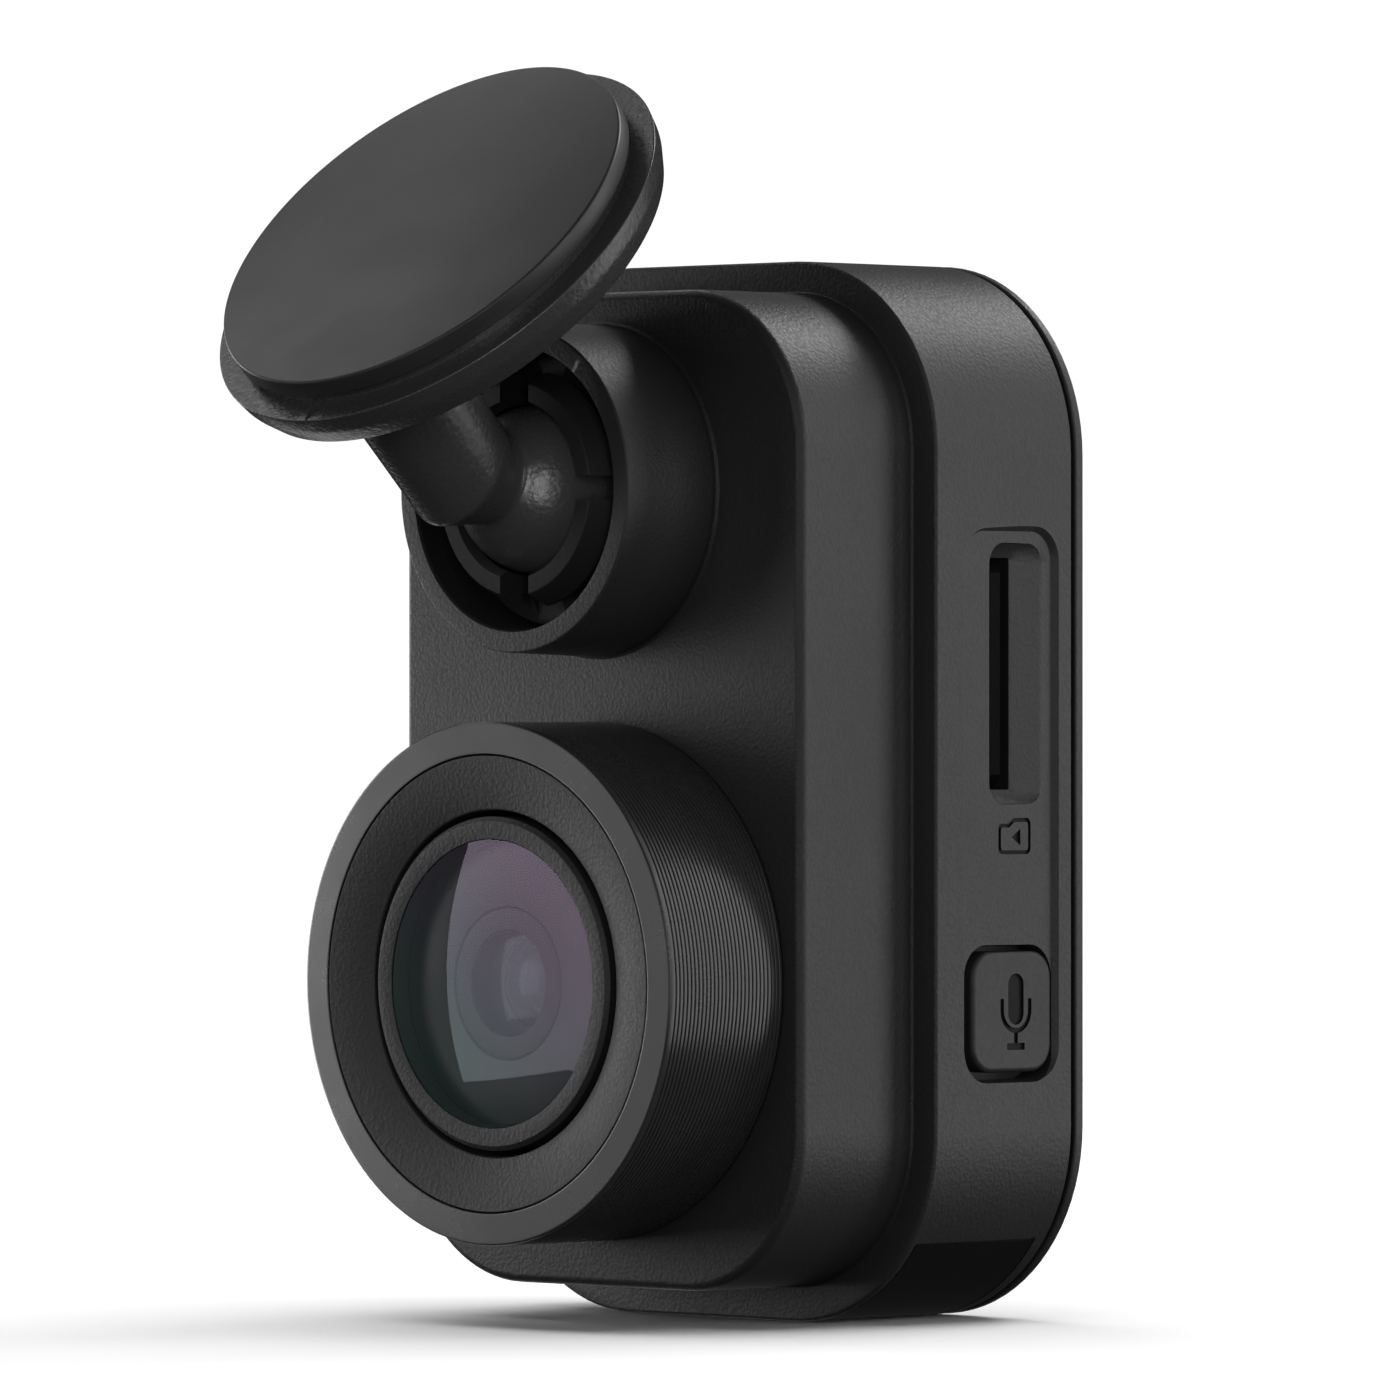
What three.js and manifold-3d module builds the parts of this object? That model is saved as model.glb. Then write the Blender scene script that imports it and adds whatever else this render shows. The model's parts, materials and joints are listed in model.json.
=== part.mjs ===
// Dash camera on a ball-joint windscreen mount. Millimetres, +Z up, the lens looks towards -Y.
// While it is drawn, Y = 0 is the step between the slim front half and the wider rear shell and
// Z = 0 is the underside. Each finished piece then moves so that the origin is the pad's face centre.
import * as THREE from 'three';
import { mergeVertices } from 'three/addons/utils/BufferGeometryUtils.js';
import Module from 'manifold-3d';

const wasm = await Module();
wasm.setup();

// Rear shell and the slimmer front half
const BODY_W = 31.3;
const BODY_H = 52.8;
const BODY_R = 9.7;
const BODY_MID = BODY_H / 2;
const FRONT_W = 28.0;
const FRONT_H = 49.4;
const FRONT_R = 8.0;
const FRONT_MID = 26.5;
const FRONT_Y = -7.83;
const FRONT_EDGE = 0.46;
const WALL = 1.5;
const SEAM_Y = 9.8;
const SEAM_GAP = 0.25;
const BACK_EDGE_Y = 10.64;
const BACK_DOME_Y = 11.7;

// Lens
const LENS_Z = 16.99;
const LENS_RING_R = 12.88;
const LENS_RING_BORE = 11.3;
const LENS_FACE_Y = -15.73;
const FUNNEL_R = 8.55;
const GLASS_R = 7.05;
const GLASS_APEX_Y = -16.25;

// Ball joint
const BALL = new THREE.Vector3(0, -11.9, 41.35);
const BALL_R = 4.2;
const SOCKET_R = 8.08;
const SOCKET_BASE_R = 8.27;
const SOCKET_BORE = 6.98;
const SOCKET_FACE_Y = -13.82;
const SOCKET_FLOOR_Y = -5.3;
const COLLET_FACE_Y = -13.75;
const SLOT_WIDE = 2.0;
const SLOT_NARROW = 1.2;

// Arm and adhesive disc; the disc faces up and forwards, along the slope of a windscreen
const DISC = new THREE.Vector3(0, -20.16, 54.29);
const DISC_AXIS = new THREE.Vector3(0, -0.7071, 0.7071).normalize();
const ELBOW = new THREE.Vector3(0, -17.4, 42.2);
const ARM_R = 2.95;
const NECK_R = 2.35;
const PAD_R = 11.29;
const PAD_T = 1.0;
const PLATE_R = 12.41;

// Circuit boards
const BOARD_Y = 6.2;
const BOARD_T = 1.0;
const BOARD_BACK = BOARD_Y + BOARD_T;
const SENSOR_BOARD_Y = 1.5;

// Card slot and microphone button on the right side
const SIDE_X = BODY_W / 2;
const CARD_Y = [4.6, 5.3];
const CARD_Z = [26.75, 37.75];
const CARD_X = [-0.06, 14.94];
const SLOT_Y = [3.95, 6.0];
const SLOT_Z = [26.5, 38.0];
const SCOOP_Z = [12.0, 39.6];
const SCOOP_Y = [2.0, 8.53, 8.82];
const SCOOP_DEPTH = 0.3;
const BUTTON_Y = [2.7, 8.45];
const BUTTON_Z = [12.6, 18.5];

const COLORS = {
  shell: 0x1d1e20, satin: 0x2a2b2d, pad: 0x3a3b3d, glass: 0x0c2b2c, optic: 0x8fb2b0, board: 0x12432f,
  chip: 0x17181a, metal: 0xb4b7ba, brass: 0xb08d4a, nylon: 0x3f4042, card: 0x232427, foil: 0x3b4a66,
  label: 0x101113, gold: 0xc9a14a, white: 0xdadada, red: 0xa32020, black: 0x0b0b0c,
};

// ---- geometry helpers ----

function signedVolume(position, index) {
  const a = new THREE.Vector3();
  const b = new THREE.Vector3();
  const c = new THREE.Vector3();
  let sum = 0;
  for (let i = 0; i < index.length; i += 3) {
    a.fromBufferAttribute(position, index[i]);
    b.fromBufferAttribute(position, index[i + 1]);
    c.fromBufferAttribute(position, index[i + 2]);
    sum += a.dot(b.cross(c));
  }
  return sum;
}

// A closed solid from any closed three.js geometry, turned so that its faces point out
function solid(geometry) {
  geometry.deleteAttribute('normal');
  geometry.deleteAttribute('uv');
  const merged = mergeVertices(geometry, 1e-5);
  const position = merged.attributes.position;
  const index = Array.from(merged.index.array);
  if (signedVolume(position, index) < 0) {
    index.reverse();
  }
  return new wasm.Manifold(new wasm.Mesh({
    numProp: 3,
    vertProperties: new Float32Array(position.array),
    triVerts: new Uint32Array(index),
  }));
}

function sum(...parts) {
  return parts.reduce((a, b) => a.add(b));
}

function cut(body, ...tools) {
  return tools.reduce((a, b) => a.subtract(b), body);
}

// Skin over rings of equal point count, closed by a fan at each end
function loft(rings) {
  const count = rings[0].length;
  const positions = [];
  const index = [];
  rings.forEach((ring) => ring.forEach((p) => positions.push(p[0], p[1], p[2])));
  for (let r = 0; r + 1 < rings.length; r += 1) {
    for (let i = 0; i < count; i += 1) {
      const a = r * count + i;
      const b = r * count + (i + 1) % count;
      index.push(a, b, b + count, a, b + count, a + count);
    }
  }
  const last = (rings.length - 1) * count;
  for (let i = 1; i + 1 < count; i += 1) {
    index.push(0, i + 1, i, last, last + i, last + i + 1);
  }
  const geometry = new THREE.BufferGeometry();
  geometry.setAttribute('position', new THREE.Float32BufferAttribute(positions, 3));
  geometry.setIndex(index);
  return solid(geometry);
}

// Rounded rectangle in X and Z about (0, mid), drawn in by inset
function outline(w, h, r, mid, y, inset = 0, steps = 7) {
  const ring = [];
  const radius = Math.max(r - inset, 0.05);
  const cx = w / 2 - inset - radius;
  const cz = h / 2 - inset - radius;
  const corners = [[cx, cz, 0], [-cx, cz, 1], [-cx, -cz, 2], [cx, -cz, 3]];
  corners.forEach(([x, z, quarter]) => {
    for (let i = 0; i <= steps; i += 1) {
      const a = (quarter + i / steps) * Math.PI / 2;
      ring.push([x + radius * Math.cos(a), y, mid + z + radius * Math.sin(a)]);
    }
  });
  return ring;
}

function bodyRing(y, inset = 0) {
  return outline(BODY_W, BODY_H, BODY_R, BODY_MID, y, inset);
}

function frontRing(y, inset = 0) {
  return outline(FRONT_W, FRONT_H, FRONT_R, FRONT_MID, y, inset);
}

// Turned solid about a line along Y through (0, z); the profile lists [radius, y]
function turned(profile, z, steps = 44, x = 0) {
  const geometry = new THREE.LatheGeometry(profile.map(([r, y]) => new THREE.Vector2(r, y)), steps);
  geometry.translate(x, 0, z);
  return solid(geometry);
}

function ringProfile(inner, outer, y0, y1) {
  return [[inner, y0], [outer, y0], [outer, y1], [inner, y1], [inner, y0]];
}

function rod(r, y0, y1, z, x = 0, steps = 24) {
  return turned([[0, y0], [r, y0], [r, y1], [0, y1]], z, steps, x);
}

function box(x, y, z) {
  const geometry = new THREE.BoxGeometry(x[1] - x[0], y[1] - y[0], z[1] - z[0]);
  geometry.translate((x[0] + x[1]) / 2, (y[0] + y[1]) / 2, (z[0] + z[1]) / 2);
  return solid(geometry);
}

// Prism with an outline in Y and Z, standing between two X values
function sidePrism(points, x0, x1) {
  const shape = new THREE.Shape(points.map(([y, z]) => new THREE.Vector2(y, z)));
  const geometry = new THREE.ExtrudeGeometry(shape, { depth: x1 - x0, bevelEnabled: false });
  const turn = new THREE.Matrix4().makeBasis(
    new THREE.Vector3(0, 1, 0), new THREE.Vector3(0, 0, 1), new THREE.Vector3(1, 0, 0));
  geometry.applyMatrix4(turn);
  geometry.translate(x0, 0, 0);
  return solid(geometry);
}

// Rounded rectangle in Y and Z as a list of points
function sideOutline(y, z, r, steps = 4) {
  const points = [];
  const corners = [
    [y[1] - r, z[1] - r, 0], [y[0] + r, z[1] - r, 1], [y[0] + r, z[0] + r, 2], [y[1] - r, z[0] + r, 3],
  ];
  corners.forEach(([cy, cz, quarter]) => {
    for (let i = 0; i <= steps; i += 1) {
      const a = (quarter + i / steps) * Math.PI / 2;
      points.push([cy + r * Math.cos(a), cz + r * Math.sin(a)]);
    }
  });
  return points;
}

// Circle about a centre, square to the given direction and stretched by 1/cos along the bend at a mitre
function hoop(centre, direction, radius, steps, mitre = null) {
  const side = new THREE.Vector3(1, 0, 0);
  const up = new THREE.Vector3().crossVectors(direction, side).normalize();
  const ring = [];
  for (let i = 0; i < steps; i += 1) {
    const a = 2 * Math.PI * i / steps;
    const p = side.clone().multiplyScalar(radius * Math.cos(a)).addScaledVector(up, radius * Math.sin(a));
    if (mitre) {
      p.addScaledVector(direction, -p.dot(mitre) / direction.dot(mitre));
    }
    p.add(centre);
    ring.push([p.x, p.y, p.z]);
  }
  return ring;
}

// Thin wire along a path
function wire(points, r) {
  const path = new THREE.CatmullRomCurve3(points.map((p) => new THREE.Vector3(...p)));
  const shape = new THREE.Shape();
  shape.absarc(0, 0, r, 0, 2 * Math.PI, false);
  return solid(new THREE.ExtrudeGeometry(shape, {
    extrudePath: path, steps: 10, curveSegments: 4, bevelEnabled: false,
  }));
}

const group = new THREE.Group();

function add(name, manifold, color, roughness = 0.6, metalness = 0) {
  const data = manifold.getMesh();
  const geometry = new THREE.BufferGeometry();
  geometry.setAttribute('position', new THREE.Float32BufferAttribute(data.vertProperties, 3));
  geometry.setIndex(Array.from(data.triVerts));
  const material = new THREE.MeshStandardMaterial({ color: COLORS[color], roughness, metalness });
  const mesh = new THREE.Mesh(geometry, material);
  mesh.name = name;
  mesh.position.copy(DISC).negate();
  group.add(mesh);
}

// ---- front housing ----

const POSTS = [[-11.9, 7.2], [11.9, 7.2], [-11.9, 42.2], [11.9, 42.2]];

// Rings of a quarter-round edge that runs back from the front panel
function edgeRings(ringAt, y, radius) {
  return [0, 1, 2, 3].map((i) => {
    const a = i / 3 * Math.PI / 2;
    return ringAt(y + radius * (1 - Math.cos(a)), radius * (1 - Math.sin(a)));
  });
}

function shellOutside() {
  const rear = loft([bodyRing(0, 0.1), bodyRing(0.1), bodyRing(SEAM_Y - 0.1), bodyRing(SEAM_Y, 0.1)]);
  const front = loft([
    ...edgeRings(frontRing, FRONT_Y, FRONT_EDGE),
    frontRing(-0.12), frontRing(0.02, -0.12), frontRing(1, -0.12),
  ]);
  const socket = turned([
    [0, SOCKET_FACE_Y], [SOCKET_R - 0.12, SOCKET_FACE_Y], [SOCKET_R, SOCKET_FACE_Y + 0.12],
    [SOCKET_BASE_R, FRONT_Y - 0.1], [SOCKET_BASE_R + 0.12, FRONT_Y + 0.02], [SOCKET_BASE_R, FRONT_Y + 1],
    [0, FRONT_Y + 1],
  ], BALL.z, 48);
  return sum(rear, front, socket);
}

function shellInside() {
  const rear = loft([bodyRing(WALL, WALL), bodyRing(SEAM_Y + 1, WALL)]);
  const front = loft([frontRing(FRONT_Y + WALL, WALL), frontRing(WALL + 1, WALL)]);
  return sum(rear, front);
}

// Shallow scoop whose floor runs in from the front edge and stops at a steep bright-edged wall
function scoop() {
  const section = (z, depth, trim) => [
    [SIDE_X + 0.6, SCOOP_Y[0] - 13.06 + trim, z],
    [SIDE_X - depth, SCOOP_Y[1] - trim, z],
    [SIDE_X + 0.6, SCOOP_Y[2] + 0.6 - trim, z],
  ];
  return loft([
    section(SCOOP_Z[0], 0.0, 0.5), section(SCOOP_Z[0] + 0.6, SCOOP_DEPTH, 0),
    section(SCOOP_Z[1] - 0.6, SCOOP_DEPTH, 0), section(SCOOP_Z[1], 0.0, 0.5),
  ]);
}

// Sloping pocket behind the card slot that lets a fingertip reach the card's edge
function fingerPocket() {
  const profile = [
    [SLOT_Y[1] - 0.3, 14.9], [SLOT_Y[1] - 0.3, 16.5], [7.95, 16.5], [7.88, 15.36], [SLOT_Y[1] + 0.2, 14.93],
  ];
  const section = (z, trim) => profile.map(([y, x]) => [Math.min(x + trim, 16.5), y, z]);
  return loft([section(25.8, 0.5), section(26.4, 0), section(38.1, 0), section(38.7, 0.5)]);
}

function cardIcon() {
  const edge = [[4.6, 23.3], [7.03, 23.3], [7.03, 25.1], [5.68, 25.1], [5.37, 24.85], [4.6, 24.85]];
  const inner = [[4.8, 23.5], [6.83, 23.5], [6.83, 24.9], [5.76, 24.9], [5.45, 24.65], [4.8, 24.65]];
  const frame = cut(sidePrism(edge, 14.5, 16), sidePrism(inner, 14.4, 16.1));
  const arrow = sidePrism([[5.61, 24.15], [6.26, 23.8], [6.26, 24.5]], 14.5, 16);
  return sum(frame, arrow);
}

// Everything within a small depth of the sloping scoop floor, for shallow engraving
function scoopSkin(depth) {
  const floor = (y) => SIDE_X - SCOOP_DEPTH * (y - SCOOP_Y[0]) / (SCOOP_Y[1] - SCOOP_Y[0]);
  const lip = [[SCOOP_Y[0], 0], [SCOOP_Y[1], 0], [SCOOP_Y[1], 1], [SCOOP_Y[0], 1]];
  const section = (z) => lip.map(([y, top]) => [top ? 16.2 : floor(y) - depth, y, z]);
  return loft([section(20), section(26)]);
}

function housing() {
  const cup = rod(8.25, -7, SOCKET_FLOOR_Y + 1.2, BALL.z, 0, 48);
  const posts = POSTS.map(([x, z]) => rod(1.75, 0.8, BOARD_Y - 0.1, z, x));
  const pads = POSTS.map(([x, z]) => (
    box([x < 0 ? -14.6 : x, x < 0 ? x : 14.6], [0.8, BOARD_Y - 0.1], [z - 1, z + 1])));
  const rib = box([13.5, 14.4], [5.0, 8.4], [25.4, 39.2]);
  const hull = sum(cut(shellOutside(), shellInside()), cup, rib, ...posts, ...pads).intersect(shellOutside());
  const holes = [
    rod(SOCKET_BORE, SOCKET_FACE_Y - 1, SOCKET_FLOOR_Y, BALL.z, 0, 48),
    rod(9.2, FRONT_Y - 1, FRONT_Y + 3, LENS_Z, 0, 48),
    ...POSTS.map(([x, z]) => rod(0.85, 2.2, BOARD_Y + 1, z, x, 12)),
    ...[-4.6, 4.6].map((x) => rod(0.95, SOCKET_FLOOR_Y - 1, SOCKET_FLOOR_Y + 2, BALL.z, x, 12)),
    scoop(),
    fingerPocket(),
    box([12, 17], SLOT_Y, SLOT_Z),
    sidePrism(sideOutline([2.0, 8.57], [12.05, 18.8], 1.5), 14.95, 17),
    sidePrism(sideOutline([2.4, 8.57], [12.3, 18.75], 1.5), 13, 15.2),
    cardIcon().intersect(scoopSkin(0.12)),
    sidePrism(sideOutline([3.05, 6.05], [28.6, 37.0], 0.7), -17, -13),
    labelSpace(),
  ];
  return cut(hull, ...holes);
}

// ---- blank rating label, wrapped round the underside ----

const LABEL_ANGLE = 35;

function labelBand(outer, inner, y0, y1, lowAngle) {
  const ringAt = (y) => {
    const arc = (radius, reverse) => {
      const points = [];
      const cx = BODY_W / 2 - BODY_R;
      for (let i = 0; i <= 7; i += 1) {
        const a = (-lowAngle - (90 - lowAngle) * i / 7) * Math.PI / 180;
        points.push([cx + radius * Math.cos(a), y, BODY_R + radius * Math.sin(a)]);
      }
      const mirrored = points.map(([x, yy, z]) => [-x, yy, z]).reverse();
      const all = points.concat(mirrored);
      return reverse ? all.reverse() : all;
    };
    return arc(BODY_R - inner, false).concat(arc(BODY_R - outer, true));
  };
  const rings = [ringAt(y0), ringAt(y1)];
  return bandSolid(rings);
}

// Skin between two equal strips, for the concave outline of the label
function bandSolid([a, b]) {
  const count = a.length;
  const half = count / 2;
  const index = [];
  for (let i = 0; i < count; i += 1) {
    const j = (i + 1) % count;
    index.push(i, j, j + count, i, j + count, i + count);
  }
  for (let i = 0; i + 1 < half; i += 1) {
    const p = count - 1 - i;
    index.push(i, p - 1, i + 1, i, p, p - 1);
    index.push(i + count, i + 1 + count, p - 1 + count, i + count, p - 1 + count, p + count);
  }
  const geometry = new THREE.BufferGeometry();
  geometry.setAttribute('position', new THREE.Float32BufferAttribute(a.concat(b).flat(), 3));
  geometry.setIndex(index);
  return solid(geometry);
}

function labelSpace() {
  return labelBand(-0.5, 0.2, 0.35, 9.1, LABEL_ANGLE);
}

add('front_housing', housing(), 'shell', 0.62);
add('rating_label', labelBand(0.02, 0.14, 0.5, 8.95, LABEL_ANGLE + 1), 'label', 0.3);

// ---- back cover: shallow dome, tongue that fits inside the housing, light pipe and sound holes ----

const LIGHT = [0, 37.5];
const SPEAKER_Z = 46.2;

function backCover() {
  const y0 = SEAM_Y + SEAM_GAP;
  const skin = loft([
    bodyRing(y0, 0.1), bodyRing(y0 + 0.1), bodyRing(BACK_EDGE_Y - 0.22), bodyRing(BACK_EDGE_Y - 0.06, 0.07),
    bodyRing(BACK_EDGE_Y, 0.24), bodyRing(BACK_EDGE_Y + 0.55, 3.0), bodyRing(BACK_EDGE_Y + 0.9, 6.5),
    bodyRing(BACK_DOME_Y, 11.5),
  ]);
  const tongue = loft([bodyRing(SEAM_Y - 1.2, WALL + 0.2), bodyRing(y0 + 0.3, WALL + 0.2)]);
  const hollow = loft([
    bodyRing(SEAM_Y - 2, WALL + 1.1), bodyRing(y0 + 0.3, WALL + 1.1), bodyRing(y0 + 0.7, 6),
  ]);
  const holes = [-6, -4, -2, 0, 2, 4, 6]
    .map((x) => box([x - 0.45, x + 0.45], [8, 13], [SPEAKER_Z - 3, SPEAKER_Z + 2]));
  const buttonNotch = box([12, 14.1], [8, 9.7], [11.5, 19.6]);
  return cut(
    sum(skin, cut(tongue, buttonNotch)), hollow, rod(1.15, 8, 13, LIGHT[1], LIGHT[0], 20),
    rod(0.5, 8, 13, 10.3, 8, 12), ...holes);
}

add('back_cover', backCover(), 'shell', 0.62);

// ---- lens ----

const RIBS = 8;

function lensRing() {
  const profile = [[LENS_RING_BORE, FRONT_Y - 0.12], [LENS_RING_R, FRONT_Y - 0.12]];
  const start = FRONT_Y - 0.5;
  const pitch = (LENS_FACE_Y + 0.5 - start) / RIBS;
  for (let i = 0; i < RIBS; i += 1) {
    const y = start + i * pitch;
    profile.push([LENS_RING_R, y], [LENS_RING_R - 0.14, y + pitch / 2]);
  }
  profile.push(
    [LENS_RING_R, LENS_FACE_Y + 0.5], [LENS_RING_R, LENS_FACE_Y + 0.2],
    [LENS_RING_R - 0.06, LENS_FACE_Y + 0.06],
    [LENS_RING_R - 0.2, LENS_FACE_Y], [LENS_RING_BORE + 0.06, LENS_FACE_Y - 0.05],
    [LENS_RING_BORE, LENS_FACE_Y], [LENS_RING_BORE, FRONT_Y - 0.12]);
  return turned(profile, LENS_Z, 48);
}

add('lens_ring', lensRing(), 'satin', 0.42);
add('lens_funnel', turned([
  [FUNNEL_R, -8.2], [LENS_RING_BORE - 0.15, -8.2], [LENS_RING_BORE - 0.15, LENS_FACE_Y],
  [LENS_RING_BORE - 0.3, LENS_FACE_Y + 0.03],
  [FUNNEL_R + 0.1, -15.16], [FUNNEL_R, -15.05], [FUNNEL_R, -8.2],
], LENS_Z, 48), 'shell', 0.6);
add('lens_inner_ring', turned([
  [GLASS_R + 0.1, -14.2], [8.2, -14.2], [8.2, -15.0], [7.95, -15.3], [7.3, -15.34],
  [GLASS_R + 0.1, -15.22], [GLASS_R + 0.1, -14.2],
], LENS_Z, 48), 'satin', 0.5);

function dome(r, edgeY, apexY, steps) {
  const rise = edgeY - apexY;
  const radius = (r * r + rise * rise) / (2 * rise);
  const profile = [];
  for (let i = 0; i <= steps; i += 1) {
    const x = r * i / steps;
    profile.push([x, apexY + radius - Math.sqrt(radius * radius - x * x)]);
  }
  return profile;
}

add('front_glass', turned([
  ...dome(GLASS_R, -15.28, GLASS_APEX_Y, 7), [GLASS_R, -14.3], [3.8, -14.3],
  ...dome(3.7, -14.3, -14.9, 4).reverse(),
], LENS_Z, 40), 'glass', 0.05);
add('lens_barrel', turned([
  [3.8, -14.2], [7.0, -14.2], [7.0, -14.05], [8.2, -14.05], [8.2, -9.4], [6.6, -9.2], [6.6, -1.9],
  [5.2, -1.9], [5.2, -6.2], [4.0, -6.2], [2.0, -10.9], [2.4, -10.9], [2.4, -12.3], [4.3, -12.3],
  [4.3, -13.7], [3.8, -13.7], [3.8, -14.2],
], LENS_Z, 32), 'black', 0.4);
add('aperture_stop', turned(ringProfile(2.65, 3.7, -14.15, -13.93), LENS_Z, 36), 'black', 0.5);
add('lens_element_2', turned([
  ...dome(4.2, -12.9, -13.88, 6), [4.2, -12.45], [2.5, -12.45], ...dome(2.4, -12.45, -13.3, 4).reverse(),
], LENS_Z, 32), 'optic', 0.05);
add('lens_element_3', turned(
  [...dome(2.3, -12.1, -13.15, 5), [2.3, -11.1], [0, -11.0]], LENS_Z, 28), 'optic', 0.05);
add('lens_element_4', turned(
  [...dome(5.05, -5.2, -6.0, 4), [5.05, -4.4], [0, -3.9]], LENS_Z, 32), 'optic', 0.05);

function lensHolder() {
  const base = box([-8.2, 8.2], [-1.6, SENSOR_BOARD_Y - 0.1], [LENS_Z - 8.2, LENS_Z + 8.2]);
  const collar = rod(8.1, -5.2, -1.5, LENS_Z, 0, 40);
  const bore = rod(6.75, -6, -1.4, LENS_Z, 0, 40);
  const chamber = box([-5.4, 5.4], [-1.5, 3], [LENS_Z - 4.6, LENS_Z + 4.6]);
  const window = box([-3.3, 3.3], [-3, 0], [LENS_Z - 2.8, LENS_Z + 2.8]);
  const screws = [-7, 7].map((x) => rod(0.75, -1, 3, LENS_Z - 7, x, 12));
  return cut(sum(base, collar), bore, window, chamber, ...screws);
}

add('lens_holder', lensHolder(), 'black', 0.6);
add('ir_filter', box([-4.9, 4.9], [-0.9, -0.6], [LENS_Z - 4.1, LENS_Z + 4.1]), 'foil', 0.1);
add('image_sensor', box([-4.6, 4.6], [0.3, 1.4], [LENS_Z - 3.6, LENS_Z + 3.6]), 'chip', 0.2);
const sensorBoard = cut(
  box([-9.8, 9.8], [SENSOR_BOARD_Y, SENSOR_BOARD_Y + 1], [6.4, 27.6]),
  ...[-7, 7].map((x) => rod(0.75, 0, 4, LENS_Z - 7, x, 12)));
add('sensor_board', sensorBoard, 'board', 0.5);

function screw(headR, shankR, headY, headT, length, z, x) {
  const head = rod(headR, headY, headY + headT, z, x, 14);
  const shank = rod(shankR, headY - length, headY + headT / 2, z, x, 8);
  const drive = sum(
    box([x - 0.16, x + 0.16], [headY + headT - 0.4, headY + headT + 1], [z - headR * 0.6, z + headR * 0.6]),
    box([x - headR * 0.6, x + headR * 0.6], [headY + headT - 0.4, headY + headT + 1], [z - 0.16, z + 0.16]));
  return cut(sum(head, shank), drive);
}

[-7, 7].forEach((x, i) => {
  const body = screw(1.2, 0.6, SENSOR_BOARD_Y + 1.06, 0.7, 3.0, LENS_Z - 7, x);
  add(`sensor_screw_${i + 1}`, body, 'metal', 0.3, 1);
});

// ---- main board and what it carries ----

function mainBoard() {
  const blank = loft([
    outline(26.3, 41.4, 6, 24.2, BOARD_Y), outline(26.3, 41.4, 6, 24.2, BOARD_BACK),
  ]);
  return cut(blank, ...POSTS.map(([x, z]) => rod(0.85, 5, 9, z, x, 12)));
}

add('main_board', mainBoard(), 'board', 0.5);
POSTS.forEach(([x, z], i) => {
  add(`board_screw_${i + 1}`, screw(1.3, 0.6, BOARD_BACK + 0.06, 0.8, 4.2, z, x), 'metal', 0.3, 1);
});
add('stacking_connector', box([-5.2, 5.2], [SENSOR_BOARD_Y + 1.1, BOARD_Y - 0.1], [8.4, 11.4]), 'chip', 0.5);
add('processor', box([-6, 5], [BOARD_BACK + 0.06, BOARD_BACK + 1.0], [14, 25]), 'chip', 0.35);
add('thermal_pad', box([-5.4, 4.4], [BOARD_BACK + 1.06, 9.85], [14.6, 24.4]), 'foil', 0.9);
add('memory_chip', box([-7, 4], [BOARD_BACK + 0.06, BOARD_BACK + 1.0], [27.2, 33.4]), 'chip', 0.35);
add('power_inductor', box([7, 11], [BOARD_BACK + 0.06, BOARD_BACK + 2.0], [27, 31]), 'chip', 0.6);
add('shield_can', box([-11.2, -7.6], [BOARD_BACK + 0.06, BOARD_BACK + 1.6], [13.5, 25.5]), 'metal', 0.35, 1);
add('microphone', box([6.6, 9.4], [BOARD_BACK + 0.06, BOARD_BACK + 1.1], [8.6, 12]), 'gold', 0.4, 1);
add('status_led', box(
  [LIGHT[0] - 0.8, LIGHT[0] + 0.8], [BOARD_BACK + 0.06, BOARD_BACK + 0.7], [LIGHT[1] - 0.5, LIGHT[1] + 0.5],
), 'white', 0.3);
add('light_pipe', turned([
  [0, BOARD_BACK + 0.9], [1.5, BOARD_BACK + 0.9], [1.5, 9.3], [0.95, 9.3], [0.95, BACK_DOME_Y - 0.24],
  [0, BACK_DOME_Y - 0.16],
], LIGHT[1], 20), 'white', 0.2);

// ---- card socket, card, power port ----

function cardSocketBase() {
  const floor = box([-1.4, 12.9], [CARD_Y[1] + 0.2, BOARD_Y - 0.1], [CARD_Z[0] - 1.0, CARD_Z[1] + 1.0]);
  const rails = [[CARD_Z[0] - 1.0, CARD_Z[0] - 0.2], [CARD_Z[1] + 0.2, CARD_Z[1] + 1.0]]
    .map((z) => box([-1.4, 12.9], [CARD_Y[0] - 0.1, CARD_Y[1] + 0.3], z));
  const end = box([-1.4, -0.9], [CARD_Y[0] - 0.1, CARD_Y[1] + 0.3], [CARD_Z[0] - 1.0, CARD_Z[1] + 1.0]);
  return sum(floor, ...rails, end);
}

add('card_socket_base', cardSocketBase(), 'black', 0.6);
add('card_socket_cover', cut(
  box([-1.4, 12.9], [CARD_Y[0] - 0.42, CARD_Y[0] - 0.2], [CARD_Z[0] - 1.0, CARD_Z[1] + 1.0]),
  box([1.5, 6.5], [3, 4.6], [29.5, 34.5])), 'metal', 0.3, 1);

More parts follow.
